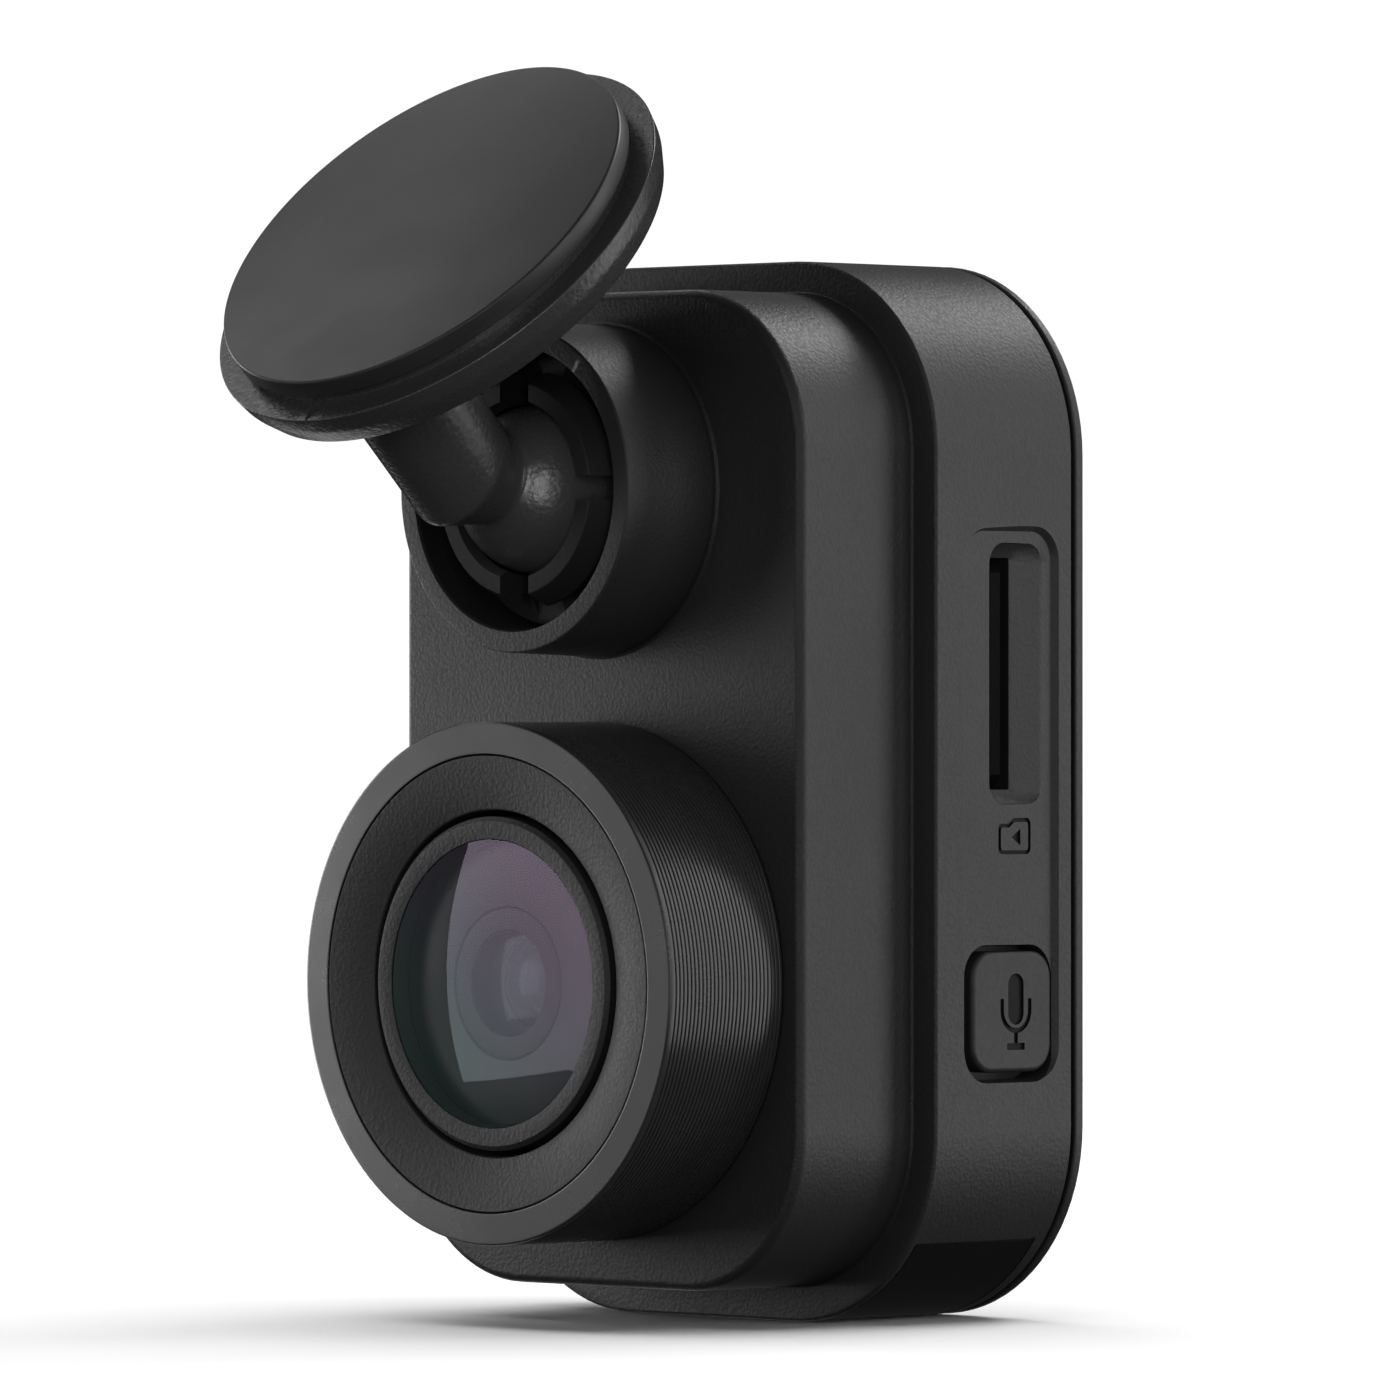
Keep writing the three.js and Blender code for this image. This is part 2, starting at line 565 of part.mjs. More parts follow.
function memoryCard() {
  const points = [
    [CARD_X[0], CARD_Z[0]], [CARD_X[1] - 0.5, CARD_Z[0]], [CARD_X[1], CARD_Z[0] + 0.5],
    [CARD_X[1], CARD_Z[1] - 0.5], [CARD_X[1] - 0.5, CARD_Z[1]], [6.0, CARD_Z[1]], [5.3, CARD_Z[1] - 0.7],
    [4.6, CARD_Z[1] - 0.7], [3.6, CARD_Z[1] - 1.4], [CARD_X[0], CARD_Z[1] - 1.4],
  ];
  const shape = new THREE.Shape(points.map(([x, z]) => new THREE.Vector2(x, z)));
  const geometry = new THREE.ExtrudeGeometry(shape, { depth: CARD_Y[1] - CARD_Y[0], bevelEnabled: false });
  geometry.rotateX(Math.PI / 2);
  geometry.translate(0, CARD_Y[1], 0);
  const grip = box(
    [CARD_X[1] - 1.0, CARD_X[1] - 0.3], [CARD_Y[0] - 0.18, CARD_Y[0] + 0.1], [CARD_Z[0] + 1, CARD_Z[1] - 1]);
  return sum(solid(geometry), grip);
}

add('memory_card', memoryCard(), 'card', 0.45);

function portShell() {
  const outer = box([-15.1, -9.6], [3.3, 5.85], [28.9, 36.7]);
  const inner = box([-16, -9.9], [3.55, 5.6], [29.15, 36.45]);
  return cut(outer, inner);
}

add('power_port_shell', portShell(), 'metal', 0.3, 1);
add('power_port_tongue', box([-14.3, -10.0], [4.2, 4.7], [30.6, 35.0]), 'black', 0.5);

// ---- microphone button ----

function buttonCap() {
  const level = (x, inset, y = BUTTON_Y, z = BUTTON_Z, r = 1.35) => sideOutline(
    [y[0] + inset, y[1] - inset], [z[0] + inset, z[1] - inset], r).map(([yy, zz]) => [x, yy, zz]);
  const cap = loft([level(13.8, 0), level(15.25, 0), level(15.42, 0.1), level(15.5, 0.32)]);
  const flange = loft([level(13.5, -0.55), level(13.95, -0.55)]);
  return cut(sum(cap, flange), micGlyph());
}

function micGlyph() {
  const x0 = 15.38;
  const capsule = sidePrism(sideOutline([5.3, 6.44], [14.9, 17.35], 0.5), x0, 16);
  const bow = cut(
    sidePrism(sideOutline([4.78, 6.98], [14.35, 17], 1.05, 5), x0, 16),
    sidePrism(sideOutline([5.06, 6.7], [14.63, 17.2], 0.78, 5), x0 - 0.5, 17),
    box([15, 17], [4, 7.5], [16.0, 18]));
  const stem = box([x0, 16], [5.73, 6.01], [13.7, 14.6]);
  const foot = box([x0, 16], [5.23, 6.51], [13.6, 13.88]);
  return sum(capsule, bow, stem, foot);
}

add('mic_button_cap', buttonCap(), 'satin', 0.5);
add('mic_switch_body', cut(
  box([9.4, 12.6], [2.75, BOARD_Y - 0.1], [12.6, 18.4]),
  box([12.2, 12.8], [3.75, 5.15], [14.45, 16.55])), 'chip', 0.5);
add('mic_switch_plunger', box([12.68, 13.42], [3.9, 5.0], [14.6, 16.4]), 'white', 0.4);

// ---- speaker and back-up cell ----

function speakerFrame() {
  const body = box([-8, 8], [4.6, 8.6], [SPEAKER_Z - 4.3, SPEAKER_Z + 4.3]);
  const mouth = box([-7.3, 7.3], [7.6, 9], [SPEAKER_Z - 3.6, SPEAKER_Z + 3.6]);
  return cut(body, mouth);
}

add('speaker_frame', cut(speakerFrame(), box([-9, 9], [4, 7.6], [41, 44.98])), 'black', 0.5);
add('speaker_cone', loft([
  outline(14.2, 6.8, 2, SPEAKER_Z, 7.75), outline(14.2, 6.8, 2, SPEAKER_Z, 8.0),
  outline(14.2, 6.8, 2, SPEAKER_Z, 8.25, 0.5), outline(14.2, 6.8, 2, SPEAKER_Z, 7.95, 1.4),
]), 'nylon', 0.7);
add('backup_cell', loft([
  outline(19.6, 16.6, 2, 39.6, -2.7, 0, 4), outline(19.6, 16.6, 2, 39.6, 1.2, 0, 4),
]), 'foil', 0.5);
[['red', 3.2], ['black', 4.6]].forEach(([color, x]) => {
  const lead = wire([[x, 1.6, 47.6], [x, 3.4, 47.2], [x, 3.6, 43], [x, 5.8, 41.2]], 0.35);
  add(`cell_wire_${color}`, lead, color, 0.5);
});

// ---- ball socket: slotted collet, nylon cup and spring behind the ball ----

const RY = (dy) => BALL.y + dy;

function collet() {
  const seat = [];
  for (let i = 0; i <= 4; i += 1) {
    const dy = -1.35 + i * 0.45;
    seat.push([Math.sqrt(4.35 * 4.35 - dy * dy), RY(dy)]);
  }
  const body = turned([
    [4.42, COLLET_FACE_Y], [5.25, COLLET_FACE_Y], [5.32, COLLET_FACE_Y + 0.08], [5.83, RY(-0.6)],
    [5.83, RY(-0.4)], [5.25, RY(-0.3)],
    [5.25, RY(0.3)], [6.7, RY(1.0)], [6.7, SOCKET_FLOOR_Y - 0.1], [3.0, SOCKET_FLOOR_Y - 0.1], [3.0, RY(5.3)],
    [4.2, RY(3.6)], [5.45, RY(1.9)], [5.5, RY(0.9)], ...seat.slice().reverse(), [4.42, COLLET_FACE_Y],
  ], BALL.z, 36);
  const slots = [
    box([-SLOT_WIDE / 2, SLOT_WIDE / 2], [COLLET_FACE_Y - 1, RY(0.85)], [BALL.z - 8, BALL.z + 8]),
    box([-8, 8], [COLLET_FACE_Y - 1, RY(0.85)], [BALL.z - SLOT_NARROW / 2, BALL.z + SLOT_NARROW / 2]),
  ];
  const screws = [-4.6, 4.6].map((x) => rod(0.75, SOCKET_FLOOR_Y - 1.4, SOCKET_FLOOR_Y, BALL.z, x, 12));
  return cut(body, ...slots, ...screws);
}

// Part of a spherical shell about the ball's centre, behind the ball
function sphereCup(inner, outer, from, to, name, color, roughness, metalness = 0) {
  const at = (r, degrees) => {
    const a = degrees * Math.PI / 180;
    return [r * Math.sin(a), BALL.y - r * Math.cos(a)];
  };
  const angles = [0, 1, 2, 3].map((i) => from + (to - from) * i / 3);
  const profile = [
    ...angles.map((a) => at(inner, a)), ...angles.slice().reverse().map((a) => at(outer, a)), at(inner, from),
  ];
  add(name, turned(profile, BALL.z, 24), color, roughness, metalness);
}

add('ball_collet', collet(), 'satin', 0.55);
sphereCup(4.35, 4.75, 132, 158, 'ball_cup', 'nylon', 0.5);
sphereCup(4.88, 5.13, 134, 156, 'cup_spring', 'metal', 0.3, 1);
[-4.6, 4.6].forEach((x, i) => {
  add(`collet_screw_${i + 1}`, screw(1.3, 0.6, SOCKET_FLOOR_Y + 1.26, 0.9, 2.3, BALL.z, x), 'metal', 0.3, 1);
});

// ---- mount: ball, bent arm and plate in one moulding, adhesive pad ----

function discProfile(profile, steps) {
  const geometry = new THREE.LatheGeometry(profile.map(([r, w]) => new THREE.Vector2(r, w)), steps);
  geometry.applyQuaternion(new THREE.Quaternion().setFromUnitVectors(new THREE.Vector3(0, 1, 0), DISC_AXIS));
  geometry.translate(DISC.x, DISC.y, DISC.z);
  return solid(geometry);
}

// Small V-shaped nick across the lowest point of the plate's rim
function rimNick() {
  const down = new THREE.Vector3(0, -1, -1).normalize();
  const at = (x, r, w) => {
    const p = DISC.clone().addScaledVector(down, r).addScaledVector(DISC_AXIS, w);
    return [x, p.y, p.z];
  };
  return loft([
    [at(-0.75, 10.9, -1.35), at(0.75, 10.9, -1.35), at(0, 10.9, -2.1)],
    [at(-0.03, 12.6, -1.4), at(0.03, 12.6, -1.4), at(0, 12.6, -1.55)],
  ]);
}

function mountArm() {
  const plate = discProfile([
    [0, -PAD_T - 0.06], [PAD_R - 0.35, -PAD_T - 0.06], [PAD_R - 0.35, -1.5], [PLATE_R - 0.05, -1.5],
    [PLATE_R, -1.56],
    [PLATE_R - 0.2, -2.6], [PLATE_R - 0.62, -3.55], [PLATE_R - 0.8, -3.7], [0, -3.7],
  ], 48);
  const sphere = new THREE.SphereGeometry(BALL_R, 24, 14);
  sphere.rotateX(Math.PI / 2);
  sphere.translate(BALL.x, BALL.y, BALL.z);
  const neck = ELBOW.clone().sub(BALL);
  const neckAxis = neck.clone().normalize();
  const bend = neckAxis.clone().add(DISC_AXIS).normalize();
  const drop = ELBOW.clone().sub(DISC).dot(DISC_AXIS);
  const along = (w) => ELBOW.clone().addScaledVector(DISC_AXIS, w - drop);
  const arm = loft([
    hoop(BALL.clone().addScaledVector(neckAxis, 2.6), neckAxis, NECK_R - 0.1, 20),
    hoop(BALL.clone().addScaledVector(neckAxis, 4.2), neckAxis, NECK_R, 20),
    hoop(ELBOW, neckAxis, ARM_R, 20, bend),
    hoop(along(-5.2), DISC_AXIS, ARM_R, 20),
    hoop(along(-4.4), DISC_AXIS, ARM_R + 0.25, 20),
    hoop(along(-3.9), DISC_AXIS, ARM_R + 0.7, 20),
    hoop(along(-3.6), DISC_AXIS, ARM_R + 1.3, 20),
    hoop(along(-3.0), DISC_AXIS, ARM_R + 1.3, 20),
  ]);
  return cut(sum(plate, solid(sphere), arm), rimNick());
}

add('mount_arm', mountArm(), 'shell', 0.55);
add('adhesive_pad', discProfile([
  [0, 0], [PAD_R - 0.12, 0], [PAD_R, -0.12], [PAD_R, -PAD_T], [0, -PAD_T],
], 48), 'pad', 0.7);

export default group;
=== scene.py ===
import json
import math

import bmesh
import bpy
import numpy as np
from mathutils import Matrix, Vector


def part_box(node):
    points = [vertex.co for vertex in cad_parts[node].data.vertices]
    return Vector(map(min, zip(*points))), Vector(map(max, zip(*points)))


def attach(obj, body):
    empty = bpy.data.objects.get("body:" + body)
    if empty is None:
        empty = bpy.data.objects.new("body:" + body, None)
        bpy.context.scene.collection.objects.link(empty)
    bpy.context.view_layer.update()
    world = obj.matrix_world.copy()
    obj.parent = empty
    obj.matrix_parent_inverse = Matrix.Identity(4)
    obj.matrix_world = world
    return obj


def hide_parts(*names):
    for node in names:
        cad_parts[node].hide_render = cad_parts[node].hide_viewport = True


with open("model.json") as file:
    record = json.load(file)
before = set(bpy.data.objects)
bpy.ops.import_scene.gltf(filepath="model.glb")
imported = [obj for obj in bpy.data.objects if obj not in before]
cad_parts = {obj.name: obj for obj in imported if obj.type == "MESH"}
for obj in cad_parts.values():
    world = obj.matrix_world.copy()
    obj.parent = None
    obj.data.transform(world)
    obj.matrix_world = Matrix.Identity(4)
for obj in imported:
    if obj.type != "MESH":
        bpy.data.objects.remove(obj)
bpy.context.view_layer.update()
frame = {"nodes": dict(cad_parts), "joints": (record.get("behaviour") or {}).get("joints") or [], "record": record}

# Pieces are drawn in millimetres with Y = 0 on the ledge between the two halves of the
# body and Z = 0 on its underside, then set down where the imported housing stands.
MM = 0.001
SOCKET_FACE_Y = -13.82
housing_low, housing_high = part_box("front_housing")
ORIGIN = np.array([0.0, housing_low.y - SOCKET_FACE_Y * MM, housing_low.z])
ball_joint = next(j for j in frame["joints"] if j["name"] == "ball_turn")
BALL = (np.array(ball_joint["pos_m"]) - ORIGIN) / MM
ring_low, ring_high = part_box("lens_ring")
LENS_Z = ((ring_low.z + ring_high.z) / 2 - ORIGIN[2]) / MM
DISC = -ORIGIN / MM
DISC_AXIS = np.array([0.0, -math.sqrt(0.5), math.sqrt(0.5)])

BODY = dict(w=31.3, h=52.8, r=9.7, mid=26.4)
FRONT = dict(w=28.0, h=49.4, r=8.0, mid=26.5)
SIDE_X = BODY["w"] / 2
FRONT_Y = -7.83
SEAM_Y = 9.8
COVER_Y = 10.05
CORNER_STEPS = 20


# ---- mesh helpers ----


def slerp(a, b, t):
    """A point on the arc between two equally long vectors."""
    turn = math.acos(max(-1.0, min(1.0, float(a @ b) / float(a @ a))))
    if turn < 1e-6:
        return a
    return (math.sin((1 - t) * turn) * a + math.sin(t * turn) * b) / math.sin(turn)


def rounded(points, closed=False, steps=4):
    """The polyline of (u, v, radius) with each corner turned into an arc of its radius."""
    out, count = [], len(points)
    for i, (u, v, radius) in enumerate(points):
        here = np.array([u, v])
        if not radius or (not closed and i in (0, count - 1)):
            out.append((u, v))
            continue
        before = np.array(points[i - 1][:2]) - here
        after = np.array(points[(i + 1) % count][:2]) - here
        before /= np.linalg.norm(before)
        after /= np.linalg.norm(after)
        half = math.acos(max(-1.0, min(1.0, float(before @ after)))) / 2
        middle = before + after
        centre = here + middle / np.linalg.norm(middle) * radius / math.sin(half)
        start = here + before * radius / math.tan(half) - centre
        end = here + after * radius / math.tan(half) - centre
        out += [tuple(centre + slerp(start, end, k / steps)) for k in range(steps + 1)]
    return out


def make(name, points, faces, material=None, sharp=32):
    """A mesh object from points in millimetres, its faces turned outwards."""
    mesh = bpy.data.meshes.new(name)
    placed = np.asarray(points, float) * MM + ORIGIN
    mesh.from_pydata([tuple(p) for p in placed], [], faces)
    obj = bpy.data.objects.new(name, mesh)
    bpy.context.scene.collection.objects.link(obj)
    bm = bmesh.new()
    bm.from_mesh(mesh)
    bmesh.ops.remove_doubles(bm, verts=bm.verts, dist=1e-7)
    bmesh.ops.recalc_face_normals(bm, faces=bm.faces)
    bm.to_mesh(mesh)
    bm.free()
    if material:
        mesh.materials.append(material)
    shade(obj, sharp)
    return obj


def shade(obj, sharp):
    """Smooth shading, broken where faces meet at more than this many degrees."""
    mesh = obj.data
    mesh.polygons.foreach_set("use_smooth", [True] * len(mesh.polygons))
    mesh.set_sharp_from_angle(angle=math.radians(sharp))


def skin(rings, loop=False):
    """(points, faces) for a skin over rings of equal count: closed ends, or a closed loop."""
    count = len(rings[0])
    points = np.concatenate([np.asarray(r, float) for r in rings])
    faces = []
    spans = len(rings) if loop else len(rings) - 1
    for k in range(spans):
        a, b = k * count, (k + 1) % len(rings) * count
        for i in range(count):
            j = (i + 1) % count
            faces.append((a + i, a + j, b + j, b + i))
    if not loop:
        faces.append(tuple(range(count)))
        faces.append(tuple(range((len(rings) - 1) * count, len(rings) * count)))
    return points, faces


def loft(name, rings, material=None, sharp=32, loop=False):
    points, faces = skin(rings, loop)
    return make(name, points, faces, material, sharp)


def outline(family, y, inset=0.0, steps=CORNER_STEPS):
    """A rounded rectangle in X and Z at height y, drawn in by inset."""
    radius = max(family["r"] - inset, 0.05)
    x = family["w"] / 2 - inset - radius
    z = family["h"] / 2 - inset - radius
    ring = []
    for quarter, (cx, cz) in enumerate(((x, z), (-x, z), (-x, -z), (x, -z))):
        for i in range(steps + 1):
            a = (quarter + i / steps) * math.pi / 2
            ring.append((cx + radius * math.cos(a), y, family["mid"] + cz + radius * math.sin(a)))
    return ring


def side_ring(x, y, z, r, steps=8):
    """A rounded rectangle in Y and Z. x is a number, or a function of Y."""
    ring = []
    corners = ((y[1] - r, z[1] - r), (y[0] + r, z[1] - r), (y[0] + r, z[0] + r), (y[1] - r, z[0] + r))
    for quarter, (cy, cz) in enumerate(corners):
        for i in range(steps + 1):
            a = (quarter + i / steps) * math.pi / 2
            py, pz = cy + r * math.cos(a), cz + r * math.sin(a)
            ring.append((x(py) if callable(x) else x, py, pz))
    return ring


def lathe(name, profile, material=None, segments=160, centre=(0, 0, 0), axis=(0, 1, 0), sharp=32):
    """A turned piece from a profile of (radius, distance along the axis).

    The profile is a closed loop unless it starts and ends on the axis.
    """
    axis = np.array(axis, float)
    across = np.array([1.0, 0.0, 0.0])
    up = np.cross(across, axis)
    points, rows = [], []
    for radius, along in profile:
        base = np.array(centre, float) + axis * along
        if radius < 1e-6:
            rows.append([len(points)])
            points.append(base)
            continue
        rows.append(list(range(len(points), len(points) + segments)))
        for i in range(segments):
            a = 2 * math.pi * i / segments
            points.append(base + radius * (across * math.cos(a) + up * math.sin(a)))
    on_axis = profile[0][0] < 1e-6
    faces = []
    for k in range(len(rows) - 1 if on_axis else len(rows)):
        one, two = rows[k], rows[(k + 1) % len(rows)]
        for i in range(segments):
            j = (i + 1) % segments
            if len(one) == 1 and len(two) == 1:
                break
            if len(one) == 1:
                faces.append((one[0], two[j], two[i]))
            elif len(two) == 1:
                faces.append((one[i], one[j], two[0]))
            else:
                faces.append((one[i], one[j], two[j], two[i]))
    return make(name, points, faces, material, sharp)


def settled(obj):
    """Applies the modifiers."""
    graph = bpy.context.evaluated_depsgraph_get()
    done = bpy.data.meshes.new_from_object(obj.evaluated_get(graph))
    old = obj.data
    obj.modifiers.clear()
    obj.data = done
    bpy.data.meshes.remove(old)
    return obj


def combine(obj, operation, *tools):
    for tool in tools:
        modifier = obj.modifiers.new("cut", "BOOLEAN")
        modifier.operation = operation
        modifier.solver = "EXACT"
        modifier.material_mode = "TRANSFER" if tool.data.materials else "INDEX"
        modifier.object = tool
        settled(obj)
        bpy.data.objects.remove(tool)
    return obj


def carve(obj, *tools):
    return combine(obj, "DIFFERENCE", *tools)


def fuse(obj, *tools):
    return combine(obj, "UNION", *tools)


def finish_shading(obj, sharp=28):
    """Clean normals on a piece that was cut: flat faces stay flat."""
    shade(obj, sharp)
    modifier = obj.modifiers.new("normals", "WEIGHTED_NORMAL")
    modifier.keep_sharp = True
    modifier.weight = 100
    return settled(obj)


def stands_for(obj, body, slot, *nodes):
    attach(obj, body)
    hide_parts(*nodes)
    return obj


# ---- materials ----


class Shader:
    """A small helper that makes nodes and links them by socket."""

    def __init__(self, name):
        self.material = bpy.data.materials.new(name)
        self.material.use_nodes = True
        self.tree = self.material.node_tree
        self.tree.nodes.clear()
        self.place = self.node("ShaderNodeTexCoord").outputs["Object"]

    def node(self, kind, settings=None, **sockets):
        made = self.tree.nodes.new(kind)
        for key, value in (settings or {}).items():
            setattr(made, key, value)
        for key, value in sockets.items():
            by_number = key[0] == "i" and key[1:].isdigit()
            socket = made.inputs[int(key[1:]) if by_number else key.replace("_", " ")]
            if isinstance(value, bpy.types.NodeSocket):
                self.tree.links.new(value, socket)
            else:
                socket.default_value = value
        return made

    def noise(self, scale, detail=2.0, roughness=0.5, vector=None):
        place = vector or self.place
        made = self.node("ShaderNodeTexNoise", Vector=place, Scale=scale, Detail=detail, Roughness=roughness)
        return made.outputs["Fac"]

    def mapped(self, value, low, high, from_low=0.0, from_high=1.0):
        made = self.node("ShaderNodeMapRange", i0=value, i1=from_low, i2=from_high, i3=low, i4=high)
        return made.outputs[0]

    def math(self, operation, a, b=0.0):
        return self.node("ShaderNodeMath", {"operation": operation}, i0=a, i1=b).outputs[0]

    def mixed(self, factor, a, b):
        made = self.node("ShaderNodeMix", {"data_type": "RGBA"})
        for socket, value in ((made.inputs[0], factor), (made.inputs[6], a), (made.inputs[7], b)):
            if isinstance(value, bpy.types.NodeSocket):
                self.tree.links.new(value, socket)
            else:
                socket.default_value = value
        return made.outputs[2]

    def bump(self, height, distance, strength=1.0, normal=None):
        made = self.node("ShaderNodeBump", Height=height, Distance=distance, Strength=strength)
        if normal:
            self.tree.links.new(normal, made.inputs["Normal"])
        return made.outputs["Normal"]

    def done(self, surface):
        out = self.node("ShaderNodeOutputMaterial")
        self.tree.links.new(surface, out.inputs["Surface"])
        return self.material


def grey(value):
    return (value, value, value * 1.01, 1.0)


def edge_mask(shader, radius=0.12):
    """0 on open faces, rising to 1 within about radius mm of an edge."""
    soft = shader.node("ShaderNodeBevel", {"samples": 4}, Radius=radius * MM).outputs[0]
    flat = shader.node("ShaderNodeNewGeometry").outputs["Normal"]
    dot = shader.node("ShaderNodeVectorMath", {"operation": "DOT_PRODUCT"}, i0=soft, i1=flat)
    return shader.mapped(dot.outputs["Value"], 0.0, 1.0, 0.99, 0.85)


def grained(name, tone, rough, cell=0.3, depth=0.012, wear_and_sheen=0.5, spread=0.05):
    """Moulded plastic with a leather-like grain, its cells about cell mm across."""
    s = Shader(name)
    warp = s.node("ShaderNodeTexNoise", Vector=s.place, Scale=900.0, Detail=2.0).outputs["Color"]
    shift = s.node("ShaderNodeVectorMath", {"operation": "SCALE"}, i0=warp, Scale=0.00035).outputs[0]
    warped = s.node("ShaderNodeVectorMath", {"operation": "ADD"}, i0=s.place, i1=shift).outputs[0]
    cells = s.node(
        "ShaderNodeTexVoronoi", {"feature": "SMOOTH_F1"}, Vector=warped, Scale=1000.0 / cell, Smoothness=0.35
    ).outputs["Distance"]
    fine = s.noise(9000.0, 2.0)
    height = s.math("ADD", cells, s.math("MULTIPLY", fine, 0.35))
    cloud = s.noise(90.0, 3.0)
    # Lighter colour along the edges: partly wear, partly a painted highlight on the edges.
    wear_and_sheen_mask = s.math("MULTIPLY", edge_mask(s), wear_and_sheen)
    base = s.mixed(s.mapped(cloud, 0.0, 1.0, 0.3, 0.7), grey(tone * 0.9), grey(tone * 1.1))
    colour = s.mixed(wear_and_sheen_mask, base, grey(tone * 2.2))
    by_cell = s.mapped(cells, rough - spread, rough + spread, 0.0, 0.7)
    roughness = s.math("ADD", by_cell, s.mapped(cloud, -0.03, 0.03, 0.3, 0.7))
    normal = s.bump(height, depth * MM, 1.0)
    shader = s.node(
        "ShaderNodeBsdfPrincipled",
        Base_Color=colour,
        Roughness=roughness,
        Normal=normal,
        Specular_IOR_Level=0.5,
    )
    return s.done(shader.outputs[0])


def smooth_plastic(
    name, tone, rough, micro=0.002, scale=7000.0, colour=None, wear_and_sheen=0.3, coat=0.0, metal=0.0, shine=0.5
):
    """Finely matted plastic, film or metal with fingerprint-like gloss variation."""
    s = Shader(name)
    tint = colour or (1.0, 1.0, 1.0)
    low = tuple(tone * 0.92 * c for c in tint) + (1.0,)
    high = tuple(tone * 1.08 * c for c in tint) + (1.0,)
    # The lighter edge colour is partly wear, partly a painted highlight along the edges.
    wear_and_sheen_colour = tuple(min(1.0, tone * 1.9 * c) for c in tint) + (1.0,)
    cloud = s.noise(220.0, 4.0)
    fine = s.noise(scale, 3.0)
    base = s.mixed(s.mapped(cloud, 0.0, 1.0, 0.3, 0.7), low, high)
    wear_and_sheen_mask = s.math("MULTIPLY", edge_mask(s), wear_and_sheen)
    by_cloud = s.mapped(cloud, rough - 0.04, rough + 0.04, 0.3, 0.7)
    shader = s.node(
        "ShaderNodeBsdfPrincipled",
        Base_Color=s.mixed(wear_and_sheen_mask, base, wear_and_sheen_colour),
        Roughness=s.math("ADD", by_cloud, s.mapped(fine, -0.03, 0.03)),
        Normal=s.bump(fine, micro * MM, 1.0),
        Metallic=metal,
        Coat_Weight=coat,
        Specular_IOR_Level=shine,
    )
    return s.done(shader.outputs[0])


def lens_glass(name, low, high, bend, clear=1.0, span=0.016):
    """Coated glass: clear, with a reflection of the lamps tinted by its coating. The tint shifts from one to the
    other along a line fixed across the lens: painted reflection colour, low on the lower left and high on the
    upper right.
    """
    s = Shader(name)
    slant = s.node("ShaderNodeVectorMath", {"operation": "DOT_PRODUCT"}, i0=s.place, i1=(0.7, 0.0, 0.7))
    level = 0.7 * (LENS_Z * MM + ORIGIN[2])
    painted_tint_share = s.mapped(slant.outputs["Value"], 0.0, 1.0, level - span / 2, level + span / 2)
    tint = s.mixed(painted_tint_share, low, high)
    gloss = s.node("ShaderNodeBsdfGlossy", Color=tint, Roughness=0.015).outputs[0]
    clear_part = s.node("ShaderNodeBsdfTransparent", Color=(clear, clear, clear, 1.0)).outputs[0]
    fresnel = s.node("ShaderNodeFresnel", IOR=bend).outputs[0]
    inside = s.node("ShaderNodeNewGeometry").outputs["Backfacing"]
    outer = s.math("MULTIPLY", fresnel, s.math("SUBTRACT", 1.0, inside))
    body = s.node("ShaderNodeMixShader", i0=outer, i1=clear_part, i2=gloss).outputs[0]
    return s.done(body)


SHELL = grained("moulded_shell", 0.036, 0.46, cell=0.2, depth=0.014)
ARM = grained("moulded_arm", 0.036, 0.28, cell=0.28, depth=0.016)
FUNNEL = grained("moulded_funnel", 0.036, 0.48, cell=0.2, depth=0.014)
SATIN = smooth_plastic("satin_ring", 0.045, 0.25, micro=0.003)
COLLET = grained("moulded_collet", 0.03, 0.5, cell=0.2, depth=0.006)
PAD = smooth_plastic("pad_film", 0.05, 0.42, micro=0.004, scale=2600.0)
LABEL = smooth_plastic("label_film", 0.012, 0.14, micro=0.0004, coat=0.4)
BUTTON = grained("button_plastic", 0.04, 0.5, cell=0.22, depth=0.006)
# Teal on the lower left and violet on the upper right: painted reflection colour on the glass.
GLASS = lens_glass("coated_glass", (0.28, 0.6, 0.5, 1.0), (0.95, 0.66, 1.0, 1.0), 1.5)
OPTIC = lens_glass("inner_glass", (0.3, 0.42, 0.45, 1.0), (0.4, 0.4, 0.5, 1.0), 1.4)
BLACK = smooth_plastic("black_plastic", 0.012, 0.45)
# Cyan tint: painted reflection, standing in for the teal reflection of the coated glass over the dark baffle.
BAFFLE_PAINTED_TEAL = smooth_plastic("lens_baffle_painted_teal", 0.02, 0.35, colour=(0.7, 1.0, 1.0))
# Near-black with little shine: painted shade, so the card end reads as shaded deep inside the slot.
CARD_PAINTED_SHADE = smooth_plastic("card_plastic", 0.004, 0.6, shine=0.05)
# Darker than the shell: painted shade on the floors of the sunk icon and glyph strokes.
ENGRAVED_PAINTED_SHADE = smooth_plastic("engraved_floor_painted_shade", 0.014, 0.6, micro=0.004, shine=0.18)
STEEL = smooth_plastic("steel", 0.55, 0.32, metal=1.0)
BRASS = smooth_plastic("gold_metal", 0.7, 0.35, colour=(1.0, 0.75, 0.35), metal=1.0)
BOARD = smooth_plastic("board_green", 0.12, 0.4, colour=(0.15, 0.85, 0.4), coat=0.5)
CHIP = smooth_plastic("chip_black", 0.02, 0.4)
FOAM = grained("grey_foam", 0.2, 0.9, cell=0.25, depth=0.03)
WHITE = smooth_plastic("white_plastic", 0.75, 0.35)
NYLON = smooth_plastic("nylon", 0.12, 0.45)
FILTER = smooth_plastic("filter_glass", 0.08, 0.06, colour=(0.4, 0.9, 1.0), coat=1.0)
FOIL = smooth_plastic("cell_foil", 0.4, 0.38, colour=(0.7, 0.8, 1.0), metal=0.9)
RED = smooth_plastic("wire_red", 0.35, 0.4, colour=(1.0, 0.08, 0.06))
WIRE_BLACK = smooth_plastic("wire_black", 0.015, 0.4)

